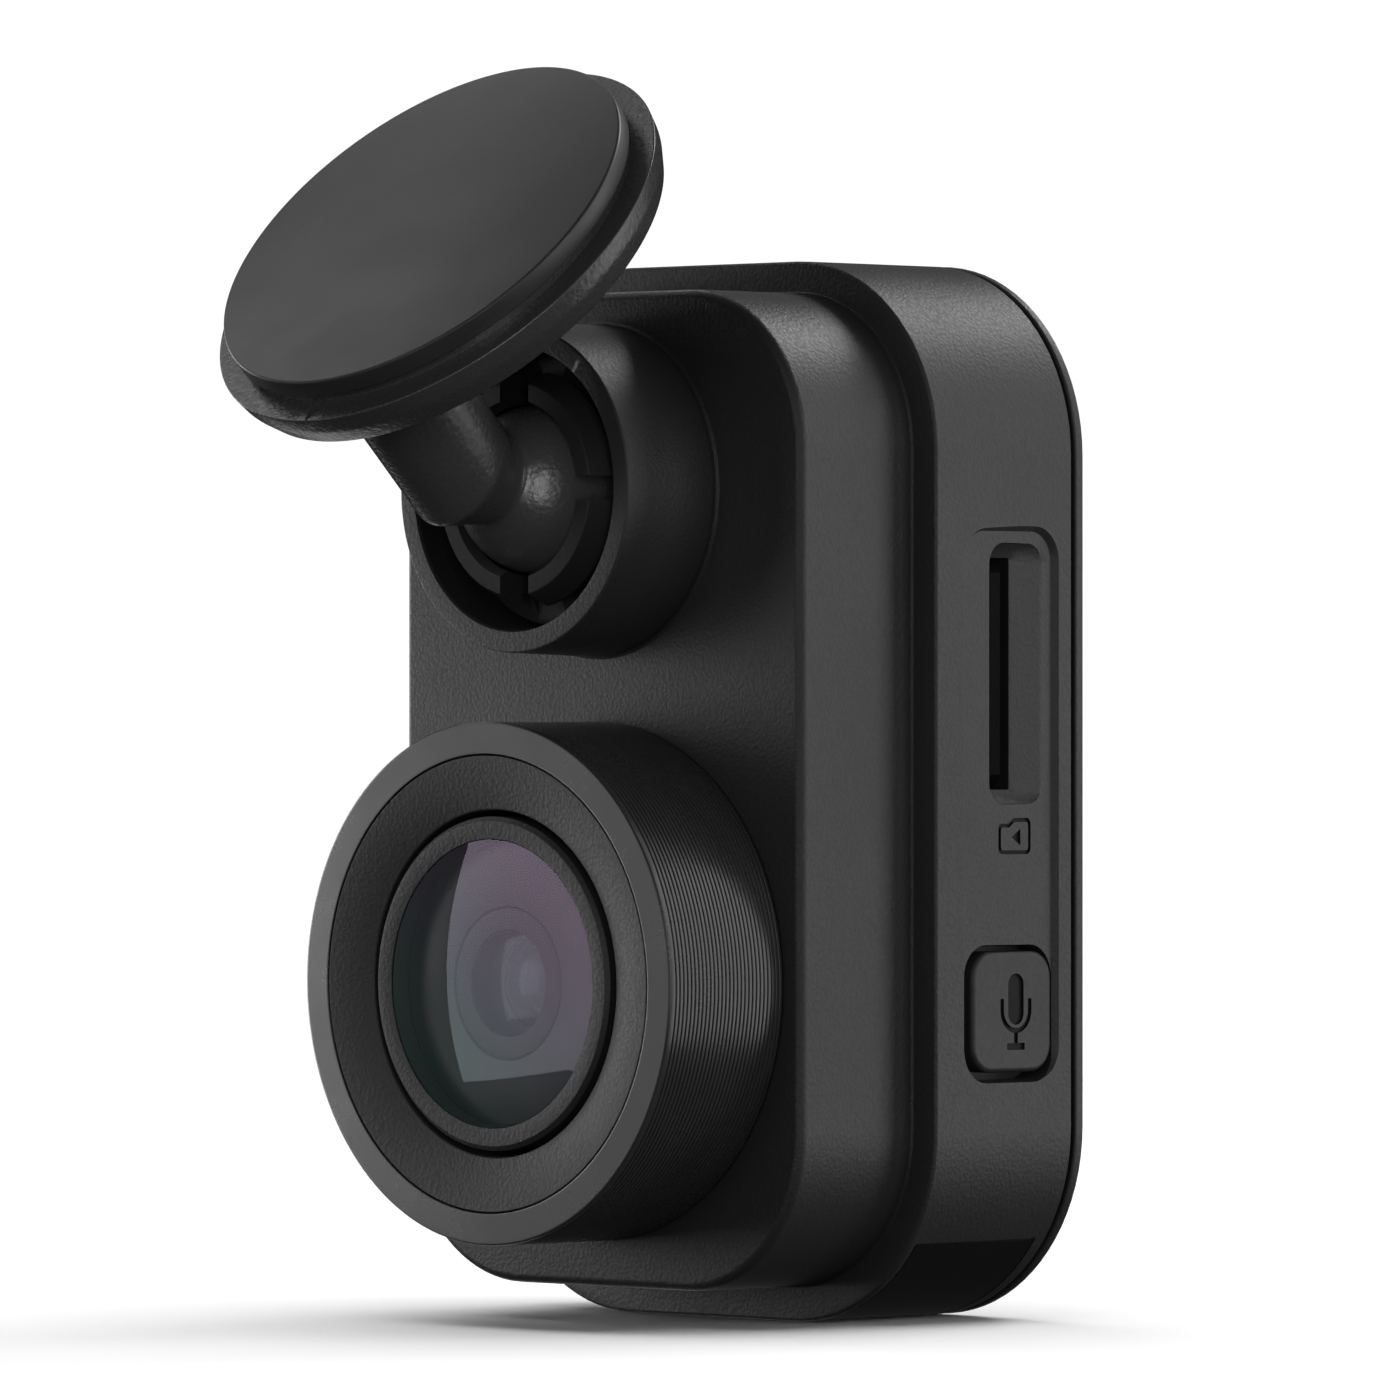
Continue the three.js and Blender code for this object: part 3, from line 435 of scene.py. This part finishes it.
BY_SLOT = {
    "shell_plastic": SHELL, "satin_plastic": SATIN, "label_film": LABEL, "coated_glass": GLASS,
    "optic_glass": OPTIC, "black_plastic": BLACK, "filter_glass": FILTER, "chip_black": CHIP,
    "board_green": BOARD, "steel": STEEL,
    "gold_metal": BRASS, "grey_foam": FOAM, "white_plastic": WHITE, "card_plastic": CARD_PAINTED_SHADE, "nylon": NYLON,
    "cell_foil": FOIL, "wire_red": RED, "wire_black": WIRE_BLACK, "pad_foam": PAD,
}
for entry in frame["record"]["subparts"]:
    cad = frame["nodes"][entry["node"]]
    cad.data.materials.clear()
    cad.data.materials.append(BY_SLOT[entry["material_slot"]])
    shade(cad, 30)


# ---- front housing ----


def shell_rings():
    front = rounded([(1.4, FRONT_Y, 0), (0.0, FRONT_Y, 0.46), (0.0, 0.0, 0.14), (-0.32, 0.0, 0)], steps=8)
    rear = rounded(
        [(0.6, 0.0, 0), (0.0, 0.0, 0.17), (0.0, SEAM_Y, 0.15), (1.5, SEAM_Y, 0.1), (1.5, 1.5, 0)], steps=5
    )
    inside = [(1.5, 1.5), (1.5, FRONT_Y + 1.5)]
    return (
        [outline(FRONT, y, inset) for inset, y in front]
        + [outline(BODY, y, inset) for inset, y in rear]
        + [outline(FRONT, y, inset) for inset, y in inside]
    )


def socket_tower():
    profile = rounded(
        [
            (0, SOCKET_FACE_Y, 0), (8.08, SOCKET_FACE_Y, 0.13), (8.26, FRONT_Y - 0.14, 0.1),
            (8.42, FRONT_Y + 0.03, 0), (8.42, -7.0, 0), (8.25, -7.0, 0), (8.25, -4.1, 0), (0, -4.1, 0),
        ],
        steps=5,
    )
    return lathe("socket_tower", profile, segments=192, centre=(0, 0, BALL[2]))


def socket_bore():
    profile = [(0, -15.5), (7.6, -15.5), (7.12, -13.9), (7.0, -13.72), (6.98, -13.6), (6.98, -5.3), (0, -5.3)]
    return lathe("socket_bore", profile, segments=192, centre=(0, 0, BALL[2]))


SCOOP_Y = (2.0, 8.53)
SCOOP_Z = (12.02, 39.6)
SCOOP_DEPTH = 0.3
SCOOP_LIP = 0.05


def scoop_floor(y):
    """X of the sloping floor, deepest along its back edge."""
    return SIDE_X - SCOOP_LIP - (SCOOP_DEPTH - SCOOP_LIP) * (y - SCOOP_Y[0]) / (SCOOP_Y[1] - SCOOP_Y[0])


def scoop_tool():
    """The dished area: a low step along its front edge, and a 45 degree chamfer along its back edge."""
    y, z = (SCOOP_Y[0], SCOOP_Y[1]), (SCOOP_Z[0] + 0.29, SCOOP_Z[1] - 0.29)
    rise = SCOOP_DEPTH + 0.4
    low = side_ring(scoop_floor, y, z, 1.5, 12)
    mouth = side_ring(SIDE_X + 0.4, (y[0] - 0.2, y[1] + rise), (z[0] - rise, z[1] + rise), 2.1, 12)
    return loft("scoop_tool", [low, mouth])


def slot_tool():
    y, z = (3.95, 6.0), (26.5, 38.0)
    rings = [
        side_ring(12.0, y, z, 0.1),
        side_ring(14.88, y, z, 0.12),
        side_ring(14.93, (3.94, 6.12), (26.42, 38.08), 0.25),
        side_ring(15.03, (3.94, 6.6), (26.2, 38.3), 0.6),
        side_ring(15.3, (3.93, 7.7), (25.86, 38.64), 0.95),
        side_ring(15.42, (3.93, 7.98), (25.78, 38.72), 1.1),
        side_ring(16.2, (3.8, 8.6), (25.4, 39.1), 1.2),
    ]
    return loft("slot_tool", rings)


BUTTON_Y = (2.75, 8.47)
BUTTON_Z = (12.5, 18.5)


def button_well():
    rings = [
        side_ring(13.0, (2.3, 8.5), (12.1, 18.76), 1.5),
        side_ring(15.05, (2.3, 8.53), (12.1, 18.76), 1.5),
        side_ring(15.4, (2.05, 8.56), (12.02, 18.82), 1.6),
        side_ring(16.4, (1.9, 8.62), (11.9, 18.92), 1.65),
    ]
    return loft("button_well", rings)


def icon_tools():
    """A card outline and a left-pointing arrow, sunk a little into the sloping floor."""

    def floor(depth, ring):
        return [(scoop_floor(y) - depth, y, z) for y, z in ring]

    def top(ring):
        return [(16.2, y, z) for y, z in ring]

    outer = rounded(
        [
            (4.6, 23.3, 0.3), (7.03, 23.3, 0.3), (7.03, 25.1, 0.3),
            (5.72, 25.1, 0.25), (5.37, 24.83, 0.2), (4.6, 24.83, 0.25),
        ],
        closed=True, steps=4,
    )
    inner = rounded(
        [
            (4.8, 23.5, 0.16), (6.83, 23.5, 0.16), (6.83, 24.9, 0.16),
            (5.8, 24.9, 0.12), (5.45, 24.63, 0.1), (4.8, 24.63, 0.12),
        ],
        closed=True, steps=4,
    )
    arrow = rounded([(5.58, 24.15, 0.03), (6.26, 23.73, 0.03), (6.26, 24.57, 0.03)], closed=True, steps=3)
    sink = 0.14
    band = [floor(sink, outer), top(outer), top(inner), floor(sink, inner)]
    # The sunk faces take the darker material: painted shade in the strokes.
    frame_tool = loft("icon_frame", band, ENGRAVED_PAINTED_SHADE, loop=True)
    return frame_tool, loft("icon_arrow", [floor(sink, arrow), top(arrow)], ENGRAVED_PAINTED_SHADE)


def port_tool():
    y, z = (3.05, 6.05), (28.6, 37.0)
    rings = [
        side_ring(-16.2, (2.6, 6.5), (28.15, 37.45), 1.2),
        side_ring(-15.62, (2.82, 6.28), (28.37, 37.23), 1.0),
        side_ring(-15.45, y, z, 0.8),
        side_ring(-13.0, y, z, 0.8),
    ]
    return loft("port_tool", rings)


def label_ring(y, outer, inner, angle, steps=14):
    """The closed strip between two depths, round the underside from one corner to the other."""

    def arc(radius):
        centre = BODY["w"] / 2 - BODY["r"]
        half = []
        for i in range(steps + 1):
            a = math.radians(-angle - (90 - angle) * i / steps)
            half.append((centre + radius * math.cos(a), y, BODY["r"] + radius * math.sin(a)))
        return half + [(-x, yy, z) for x, yy, z in reversed(half)]

    return arc(BODY["r"] - inner) + list(reversed(arc(BODY["r"] - outer)))


def housing():
    obj = loft("front_housing_shell", shell_rings(), SHELL)
    rib_corners = ((12.95, 5.0), (14.4, 5.0), (14.4, 8.4), (12.95, 8.4))
    rib = loft("slot_rib", [[(x, y, z) for x, y in rib_corners] for z in (25.4, 39.2)])
    fuse(obj, socket_tower(), rib)
    lens_bore = lathe("lens_bore", [(0, -9.5), (9.2, -9.5), (9.2, -5.5), (0, -5.5)], centre=(0, 0, LENS_Z))
    label_space = loft("label_space", [label_ring(y, -0.6, 0.16, 35) for y in (0.4, 9.05)])
    carve(obj, socket_bore(), lens_bore, button_well(), scoop_tool(), slot_tool())
    carve(obj, *icon_tools(), port_tool(), label_space)
    return finish_shading(obj)


shell = stands_for(housing(), "camera", "shell_plastic", "front_housing")

label = loft("rating_label_film", [label_ring(y, 0.02, 0.14, 36) for y in (0.52, 8.93)], LABEL)
bevel = label.modifiers.new("edge", "BEVEL")
bevel.width = 0.03 * MM
bevel.segments = 2
bevel.limit_method = "ANGLE"
bevel.angle_limit = math.radians(50)
settled(label)
finish_shading(label)
stands_for(label, "camera", "label_film", "rating_label")


# ---- back cover ----


def back_cover():
    low = rounded(
        [
            (6.0, 10.8, 0), (2.6, 10.4, 0), (2.6, 8.6, 0), (1.7, 8.6, 0),
            (1.7, COVER_Y, 0), (0.0, COVER_Y, 0.13), (0.0, 10.64, 0.2), (0.5, 10.76, 0),
        ],
        steps=5,
    )
    dome = []
    for i in range(1, 15):
        t = i / 14
        dome.append((0.5 + 11.0 * t, 10.76 + 0.94 * (1 - (1 - t) ** 2.2)))
    rings = [outline(BODY, y, inset) for inset, y in low + dome]
    obj = loft("back_cover_shell", rings, SHELL)
    speaker_z = 46.2
    tools = []
    for i in range(7):
        x = -6 + 2 * i
        profile = rounded(
            [
                (x - 0.45, speaker_z - 3, 0.4), (x + 0.45, speaker_z - 3, 0.4),
                (x + 0.45, speaker_z + 2, 0.4), (x - 0.45, speaker_z + 2, 0.4),
            ],
            closed=True, steps=5,
        )
        tools.append(loft(f"speaker_slot_{i}", [[(px, y, pz) for px, pz in profile] for y in (8.0, 13.0)]))
    light_profile = [(0, 8), (1.12, 8), (1.12, 13), (0, 13)]
    tools.append(lathe("light_hole", light_profile, segments=48, centre=(0, 0, 37.5)))
    tools.append(lathe("mic_hole", [(0, 8), (0.5, 8), (0.5, 13), (0, 13)], segments=32, centre=(8, 0, 10.3)))
    carve(obj, *tools)
    return finish_shading(obj)


stands_for(back_cover(), "camera", "shell_plastic", "back_cover")


# ---- lens ----

LENS_CENTRE = (0, 0, LENS_Z)
GROOVES = 28


def lens_ring():
    start, end = FRONT_Y - 0.16, -15.36
    pitch = (end - start) / GROOVES
    outside = []
    for i in range(GROOVES):
        y = start + pitch * i
        outside += [(12.88, y), (12.88, y + pitch * 0.5), (12.76, y + pitch * 0.75)]
    outside.append((12.88, end))
    outer_rim = [(12.88, -15.4, 0), (12.88, -15.73, 0.08), (12.74, -15.73, 0)]
    inner_rim = [(11.42, -15.73, 0), (11.31, -15.73, 0.04), (11.31, -15.0, 0)]
    nose = rounded(outer_rim + inner_rim, steps=4)
    base = [(11.31, FRONT_Y - 0.12), (12.8, FRONT_Y - 0.12)]
    return lathe("lens_ring_grooved", base + outside + nose, SATIN, 256, LENS_CENTRE, sharp=30)


def dome(r, edge, apex, steps):
    """(radius, y) along a spherical surface from its top to its edge."""
    rise = edge - apex
    radius = (r * r + rise * rise) / (2 * rise)
    reach = [r * i / steps for i in range(steps + 1)]
    return [(x, apex + radius - math.sqrt(radius * radius - x**2)) for x in reach]


ring = stands_for(lens_ring(), "camera", "satin_plastic", "lens_ring")
funnel = lathe(
    "lens_funnel_cone",
    rounded(
        [(8.55, -8.2, 0), (11.24, -8.2, 0), (11.24, -15.72, 0.05), (8.55, -15.14, 0.12)],
        closed=True, steps=5,
    ),
    FUNNEL, 192, LENS_CENTRE,
)
stands_for(funnel, "camera", "shell_plastic", "lens_funnel")
bezel = lathe(
    "lens_inner_bezel",
    rounded(
        [(7.12, -14.2, 0), (8.24, -14.2, 0), (8.24, -15.2, 0.08), (8.0, -15.36, 0.08), (7.12, -15.32, 0.04)],
        closed=True, steps=4,
    ),
    FUNNEL, 192, LENS_CENTRE,
)
stands_for(bezel, "camera", "satin_plastic", "lens_inner_ring")
glass = lathe(
    "front_glass_dome",
    dome(7.09, -15.28, -16.25, 24) + [(7.09, -14.3), (3.8, -14.3)] + dome(3.7, -14.3, -14.9, 12)[::-1],
    GLASS, 160, LENS_CENTRE,
)
stands_for(glass, "camera", "coated_glass", "front_glass")
second = lathe(
    "second_element",
    dome(4.2, -12.9, -13.88, 16) + [(4.2, -12.45), (2.5, -12.45)] + dome(2.4, -12.45, -13.3, 12)[::-1],
    OPTIC, 96, LENS_CENTRE,
)
stands_for(second, "camera", "optic_glass", "lens_element_2")
third = lathe(
    "third_element", dome(2.3, -12.1, -13.15, 14) + [(2.3, -11.1), (0, -11.0)],
    OPTIC, 96, LENS_CENTRE,
)
stands_for(third, "camera", "optic_glass", "lens_element_3")
stop = lathe(
    "aperture_ring",
    rounded([(2.65, -14.15, 0.03), (3.7, -14.15, 0.03), (3.7, -13.93, 0), (2.65, -13.93, 0.03)], closed=True),
    BLACK, 128, LENS_CENTRE,
)
stands_for(stop, "camera", "black_plastic", "aperture_stop")
barrel = lathe(
    "lens_barrel_baffle",
    rounded(
        [
            (3.8, -14.2, 0.05), (7.0, -14.2, 0.05), (7.0, -14.05, 0), (8.2, -14.05, 0),
            (8.2, -9.4, 0.05), (6.6, -9.2, 0.1), (6.6, -1.9, 0.1), (5.2, -1.9, 0.05),
            (5.2, -6.2, 0), (4.0, -6.2, 0), (2.0, -10.9, 0), (2.4, -10.9, 0),
            (2.4, -12.3, 0), (4.3, -12.3, 0), (4.3, -13.7, 0), (3.8, -13.7, 0),
        ],
        closed=True,
    ),
    BAFFLE_PAINTED_TEAL, 128, LENS_CENTRE,
)
stands_for(barrel, "camera", "black_plastic", "lens_barrel")


# ---- microphone button ----


def button():
    side = rounded([(13.95, 0, 0), (15.5, 0.0, 0.26), (15.5, 1.6, 0)], steps=6)
    rings = [side_ring(x, (2.15, 9.05), (12.0, 19.0), 1.6) for x in (13.5, 13.9)]
    for x, inset in side:
        y = (BUTTON_Y[0] + inset, BUTTON_Y[1] - inset)
        z = (BUTTON_Z[0] + inset, BUTTON_Z[1] - inset)
        rings.append(side_ring(x, y, z, max(1.35 - inset, 0.05)))
    return loft("mic_button_face", rings[:-1], BUTTON)


def glyph_tools():
    """A microphone: capsule, bow, stem and foot."""
    y, sink, out = 5.87, 15.36, 16.2

    def prism(name, ring):
        # The sunk faces take the darker material: painted shade in the strokes.
        return loft(name, [[(x, py, pz) for py, pz in ring] for x in (sink, out)], ENGRAVED_PAINTED_SHADE)

    def slab(name, half, z0, z1, r=0.04):
        corners = [(y - half, z0, r), (y + half, z0, r), (y + half, z1, r), (y - half, z1, r)]
        return prism(name, rounded(corners, closed=True, steps=3))

    pill = side_ring(0, (y - 0.56, y + 0.56), (14.85, 17.4), 0.555)
    capsule = prism("glyph_capsule", [(py, pz) for _, py, pz in pill])
    bow = []
    for radius, turn in ((1.12, 1), (0.86, -1)):
        arc = [math.radians(180 + 180 * i / 16) for i in range(17)][::turn]
        legs = [(y + radius * math.cos(a), 15.55 + radius * math.sin(a)) for a in arc]
        ends = [(y - radius * turn, 16.15)], [(y + radius * turn, 16.15)]
        bow += ends[0] + legs + ends[1]
    stem = slab("glyph_stem", 0.14, 13.9, 14.55)
    foot = slab("glyph_foot", 0.64, 13.6, 13.95)
    return capsule, prism("glyph_bow", bow), stem, foot


cap = button()
carve(cap, *glyph_tools())
finish_shading(cap)
stands_for(cap, "mic_button", "satin_plastic", "mic_button_cap")


# ---- ball socket collet ----


def collet():
    by = BALL[1]
    seat = [(math.sqrt(4.35**2 - d**2), by + d) for d in np.linspace(1.35 - 0.9, -1.35, 9)]
    outside = rounded(
        [
            (4.42, -13.75, 0.05), (5.27, -13.75, 0.09), (5.83, by - 0.62, 0.1), (5.83, by - 0.4, 0.06),
            (5.25, by - 0.3, 0), (5.25, by + 0.3, 0.1), (6.7, by + 1.0, 0), (6.7, -5.4, 0),
            (3.0, -5.4, 0), (3.0, by + 5.3, 0), (4.2, by + 3.6, 0), (5.45, by + 1.9, 0), (5.5, by + 0.9, 0),
        ],
        steps=4,
    )
    obj = lathe("ball_collet_jaws", outside + seat, COLLET, 144, (0, 0, BALL[2]))

    def slot(name, half_x, half_z):
        x, z = (-half_x, half_x), (BALL[2] - half_z, BALL[2] + half_z)
        ring = [(x[0], z[0]), (x[1], z[0]), (x[1], z[1]), (x[0], z[1])]
        return loft(name, [[(px, y, pz) for px, pz in ring] for y in (-15.0, by + 0.85)])

    carve(obj, slot("slot_tall", 1.0, 8.0), slot("slot_wide", 8.0, 0.6))
    bevel = obj.modifiers.new("edge", "BEVEL")
    bevel.width = 0.04 * MM
    bevel.segments = 1
    bevel.limit_method = "ANGLE"
    bevel.angle_limit = math.radians(60)
    settled(obj)
    return finish_shading(obj)


stands_for(collet(), "camera", "satin_plastic", "ball_collet")


# ---- ball, arm and plate ----

ELBOW = np.array([0.0, -17.4, 42.2])
ARM_R = 2.95


def hoop(centre, direction, radius, steps=56, mitre=None):
    side = np.array([1.0, 0.0, 0.0])
    up = np.cross(direction, side)
    up /= np.linalg.norm(up)
    ring = []
    for i in range(steps):
        a = 2 * math.pi * i / steps
        p = side * radius * math.cos(a) + up * radius * math.sin(a)
        if mitre is not None:
            p = p - direction * (p @ mitre) / (direction @ mitre)
        ring.append(tuple(centre + p))
    return ring


def ball_and_arm():
    turns = [math.pi * i / 48 for i in range(49)]
    profile = [(4.2 * math.sin(a), -4.2 * math.cos(a)) for a in turns]
    ball = lathe("ball", profile, segments=96, centre=BALL)
    neck_axis = (ELBOW - BALL) / np.linalg.norm(ELBOW - BALL)
    bend = neck_axis + DISC_AXIS
    bend /= np.linalg.norm(bend)
    drop = (ELBOW - DISC) @ DISC_AXIS
    rings = [
        hoop(BALL + neck_axis * 2.6, neck_axis, 2.4),
        hoop(BALL + neck_axis * 3.6, neck_axis, 2.38),
        hoop(BALL + neck_axis * 4.2, neck_axis, 2.42),
        hoop(ELBOW, neck_axis, ARM_R, mitre=bend),
        hoop(ELBOW + DISC_AXIS * (-5.6 - drop), DISC_AXIS, ARM_R),
    ]
    flare = 1.7
    for i in range(1, 9):
        a = i / 8 * math.pi / 2
        foot = ELBOW + DISC_AXIS * (-5.4 + flare * math.sin(a) - drop)
        rings.append(hoop(foot, DISC_AXIS, ARM_R + flare * (1 - math.cos(a))))
    rings.append(hoop(ELBOW + DISC_AXIS * (-2.8 - drop), DISC_AXIS, ARM_R + flare))
    arm = loft("arm", rings)
    fuse(ball, arm)
    remesh = ball.modifiers.new("remesh", "REMESH")
    remesh.mode = "VOXEL"
    remesh.voxel_size = 0.15 * MM
    smooth = ball.modifiers.new("smooth", "SMOOTH")
    smooth.iterations = 9
    smooth.factor = 0.5
    settled(ball)
    ball.name = "mount_arm_moulding"
    return ball


def plate():
    profile = rounded(
        [
            (0, -1.06, 0), (10.94, -1.06, 0.05), (10.94, -1.5, 0), (12.41, -1.5, 0.07),
            (12.25, -2.5, 1.5), (11.72, -3.6, 0.3), (11.4, -3.7, 0.2), (0, -3.7, 0),
        ],
        steps=5,
    )
    disc = lathe("plate", profile, None, 192, DISC, DISC_AXIS)
    down = np.array([0.0, -math.sqrt(0.5), -math.sqrt(0.5)])
    nick = [
        [DISC + down * r + DISC_AXIS * w + np.array([x, 0, 0]) for x, r, w in row]
        for row in (
            ((-0.75, 10.9, -1.35), (0.75, 10.9, -1.35), (0, 10.9, -2.1)),
            ((-0.03, 12.6, -1.4), (0.03, 12.6, -1.4), (0, 12.6, -1.55)),
        )
    ]
    return carve(disc, loft("rim_nick", nick))


arm = ball_and_arm()
fuse(arm, plate())
arm.data.materials.clear()
arm.data.materials.append(ARM)
finish_shading(arm, 40)
stands_for(arm, "mount", "shell_plastic", "mount_arm")

pad = lathe(
    "adhesive_pad_disc",
    rounded([(0, 0, 0), (11.29, 0, 0.14), (11.29, -1.0, 0.08), (0, -1.0, 0)], steps=4),
    PAD, 192, DISC, DISC_AXIS,
)
stands_for(pad, "mount", "pad_foam", "adhesive_pad")


# ---- floor, lights, camera ----


def floor():
    s = Shader("floor_white")
    far = s.node("ShaderNodeVectorMath", {"operation": "LENGTH"}, i0=s.place).outputs["Value"]
    fade = s.mapped(far, 0.0, 1.0, 0.25, 0.4)
    tone = s.mixed(s.noise(40.0), (0.88, 0.88, 0.88, 1.0), (0.9, 0.9, 0.9, 1.0))
    matt = s.node("ShaderNodeBsdfDiffuse", Color=tone).outputs[0]
    gone = s.node("ShaderNodeBsdfTransparent").outputs[0]
    material = s.done(s.node("ShaderNodeMixShader", i0=fade, i1=matt, i2=gone).outputs[0])
    count, reach = 64, 400.0
    level = -0.05
    turns = [2 * math.pi * i / count for i in range(count)]
    ring = [(reach * math.cos(a), reach * math.sin(a), level) for a in turns]
    ground = make("floor", ring, [tuple(range(count))], material)
    ground.visible_diffuse = ground.visible_glossy = ground.visible_shadow = False
    return ground


def softbox(name, where, aim, size, power, receivers=(), left_out=()):
    """A rectangular light. It reaches only the receivers if there are any, and never those left out."""
    data = bpy.data.lights.new(name, "AREA")
    data.shape = "RECTANGLE"
    data.size, data.size_y = size
    data.energy = power
    obj = bpy.data.objects.new(name, data)
    obj.location = where
    obj.rotation_euler = (Vector(aim) - Vector(where)).to_track_quat("-Z", "Y").to_euler()
    obj.visible_camera = False
    bpy.context.scene.collection.objects.link(obj)
    group = bpy.data.collections.new(name + "_linking")
    for piece in (*receivers, *left_out):
        group.objects.link(piece)
    for link in group.collection_objects[len(receivers):]:
        link.light_linking.link_state = "EXCLUDE"
    obj.light_linking.receiver_collection = group
    return obj


ground = floor()
centre = (0.0, ORIGIN[1], ORIGIN[2] + 0.026)


def toward(azimuth, elevation, distance):
    """A point round the object. Azimuth 0 is in front (-Y) and 90 on the right (+X)."""
    a, e = math.radians(azimuth), math.radians(elevation)
    direction = Vector((math.sin(a) * math.cos(e), -math.cos(a) * math.cos(e), math.sin(e)))
    return tuple(Vector(centre) + distance * direction)


# Azimuth, elevation, distance, size and power of each soft studio light round the object
STUDIO = {
    "right_back": (137, 8, 0.45, (0.16, 0.46), 0.52),
    "right": (105, 6, 0.45, (0.16, 0.22), 0.23),
    "right_edge_strip": (92, 5, 0.5, (0.03, 0.3), 0.18),
    "corner_strip": (50, 6, 0.5, (0.06, 0.3), 0.22),
    "back": (155, 6, 0.45, (0.16, 0.22), 0.09),
    "back_high": (180, 42, 0.45, (0.16, 0.16), 0.62),
    "back_left_high": (240, 42, 0.45, (0.16, 0.16), 0.14),
    "back_right_high": (150, 42, 0.45, (0.16, 0.16), 0.08),
    "left": (270, 6, 0.45, (0.16, 0.22), 0.44),
    "left_high": (284, 42, 0.45, (0.18, 0.16), 0.17),
    "front_left": (315, 6, 0.45, (0.16, 0.22), 0.125),
    "front": (7, 6, 0.45, (0.28, 0.22), 0.22),
    "back_left_low": (240, -30, 0.45, (0.2, 0.2), 0.1),
}
coated = [glass, second, third]
for light, (azimuth, elevation, distance, size, power) in STUDIO.items():
    softbox(light, toward(azimuth, elevation, distance), centre, size, power, left_out=coated)
softbox("left_near", toward(-62, -4, 0.085), centre, (0.04, 0.05), 0.015, [shell, funnel, bezel])
softbox("left_near_ring", toward(-62, -4, 0.085), centre, (0.04, 0.05), 0.042, [ring])
softbox("arm_strip", toward(44, 4, 0.5), centre, (0.14, 0.3), 0.8, [arm])
softbox("lens_window", toward(-31, 6, 0.45), centre, (0.4, 0.4), 1.1, coated)
softbox("lens_room", toward(-30, 0, 0.6), centre, (1.6, 1.6), 2.4, coated)
softbox("floor_wash", (0.0, 0.0, 0.6), (0, 0, 0), (0.9, 0.9), 6.0, [ground])

world = bpy.data.worlds.new("studio")
bpy.context.scene.world = world
world.use_nodes = True
nodes, links = world.node_tree.nodes, world.node_tree.links
nodes.clear()
direction = nodes.new("ShaderNodeTexCoord")
parts = nodes.new("ShaderNodeSeparateXYZ")
links.new(direction.outputs["Generated"], parts.inputs[0])
ramp = nodes.new("ShaderNodeMapRange")
ramp.inputs[1].default_value, ramp.inputs[2].default_value = -0.7, 0.4
ramp.inputs[3].default_value, ramp.inputs[4].default_value = 0.004, 0.02
links.new(parts.outputs["Y"], ramp.inputs[0])
seen = nodes.new("ShaderNodeLightPath")
dim = nodes.new("ShaderNodeBackground")
links.new(ramp.outputs[0], dim.inputs["Strength"])
white = nodes.new("ShaderNodeBackground")
white.inputs["Color"].default_value = (1, 1, 1, 1)
white.inputs["Strength"].default_value = 1.05
mix = nodes.new("ShaderNodeMixShader")
links.new(seen.outputs["Is Camera Ray"], mix.inputs[0])
links.new(dim.outputs[0], mix.inputs[1])
links.new(white.outputs[0], mix.inputs[2])
out = nodes.new("ShaderNodeOutputWorld")
links.new(mix.outputs[0], out.inputs["Surface"])

camera_data = bpy.data.cameras.new("camera")
camera_data.lens = 283.73
camera_data.sensor_width = 36.0
camera_data.clip_start = 0.01
camera_data.clip_end = 10.0
camera = bpy.data.objects.new("camera", camera_data)
camera.location = (0.39072, -0.37227, -0.02334)
camera.rotation_euler = (math.radians(90), 0.0, math.radians(44.931))
bpy.context.scene.collection.objects.link(camera)
bpy.context.scene.camera = camera
bpy.context.scene.view_settings.view_transform = "Standard"
bpy.context.scene.view_settings.look = "None"
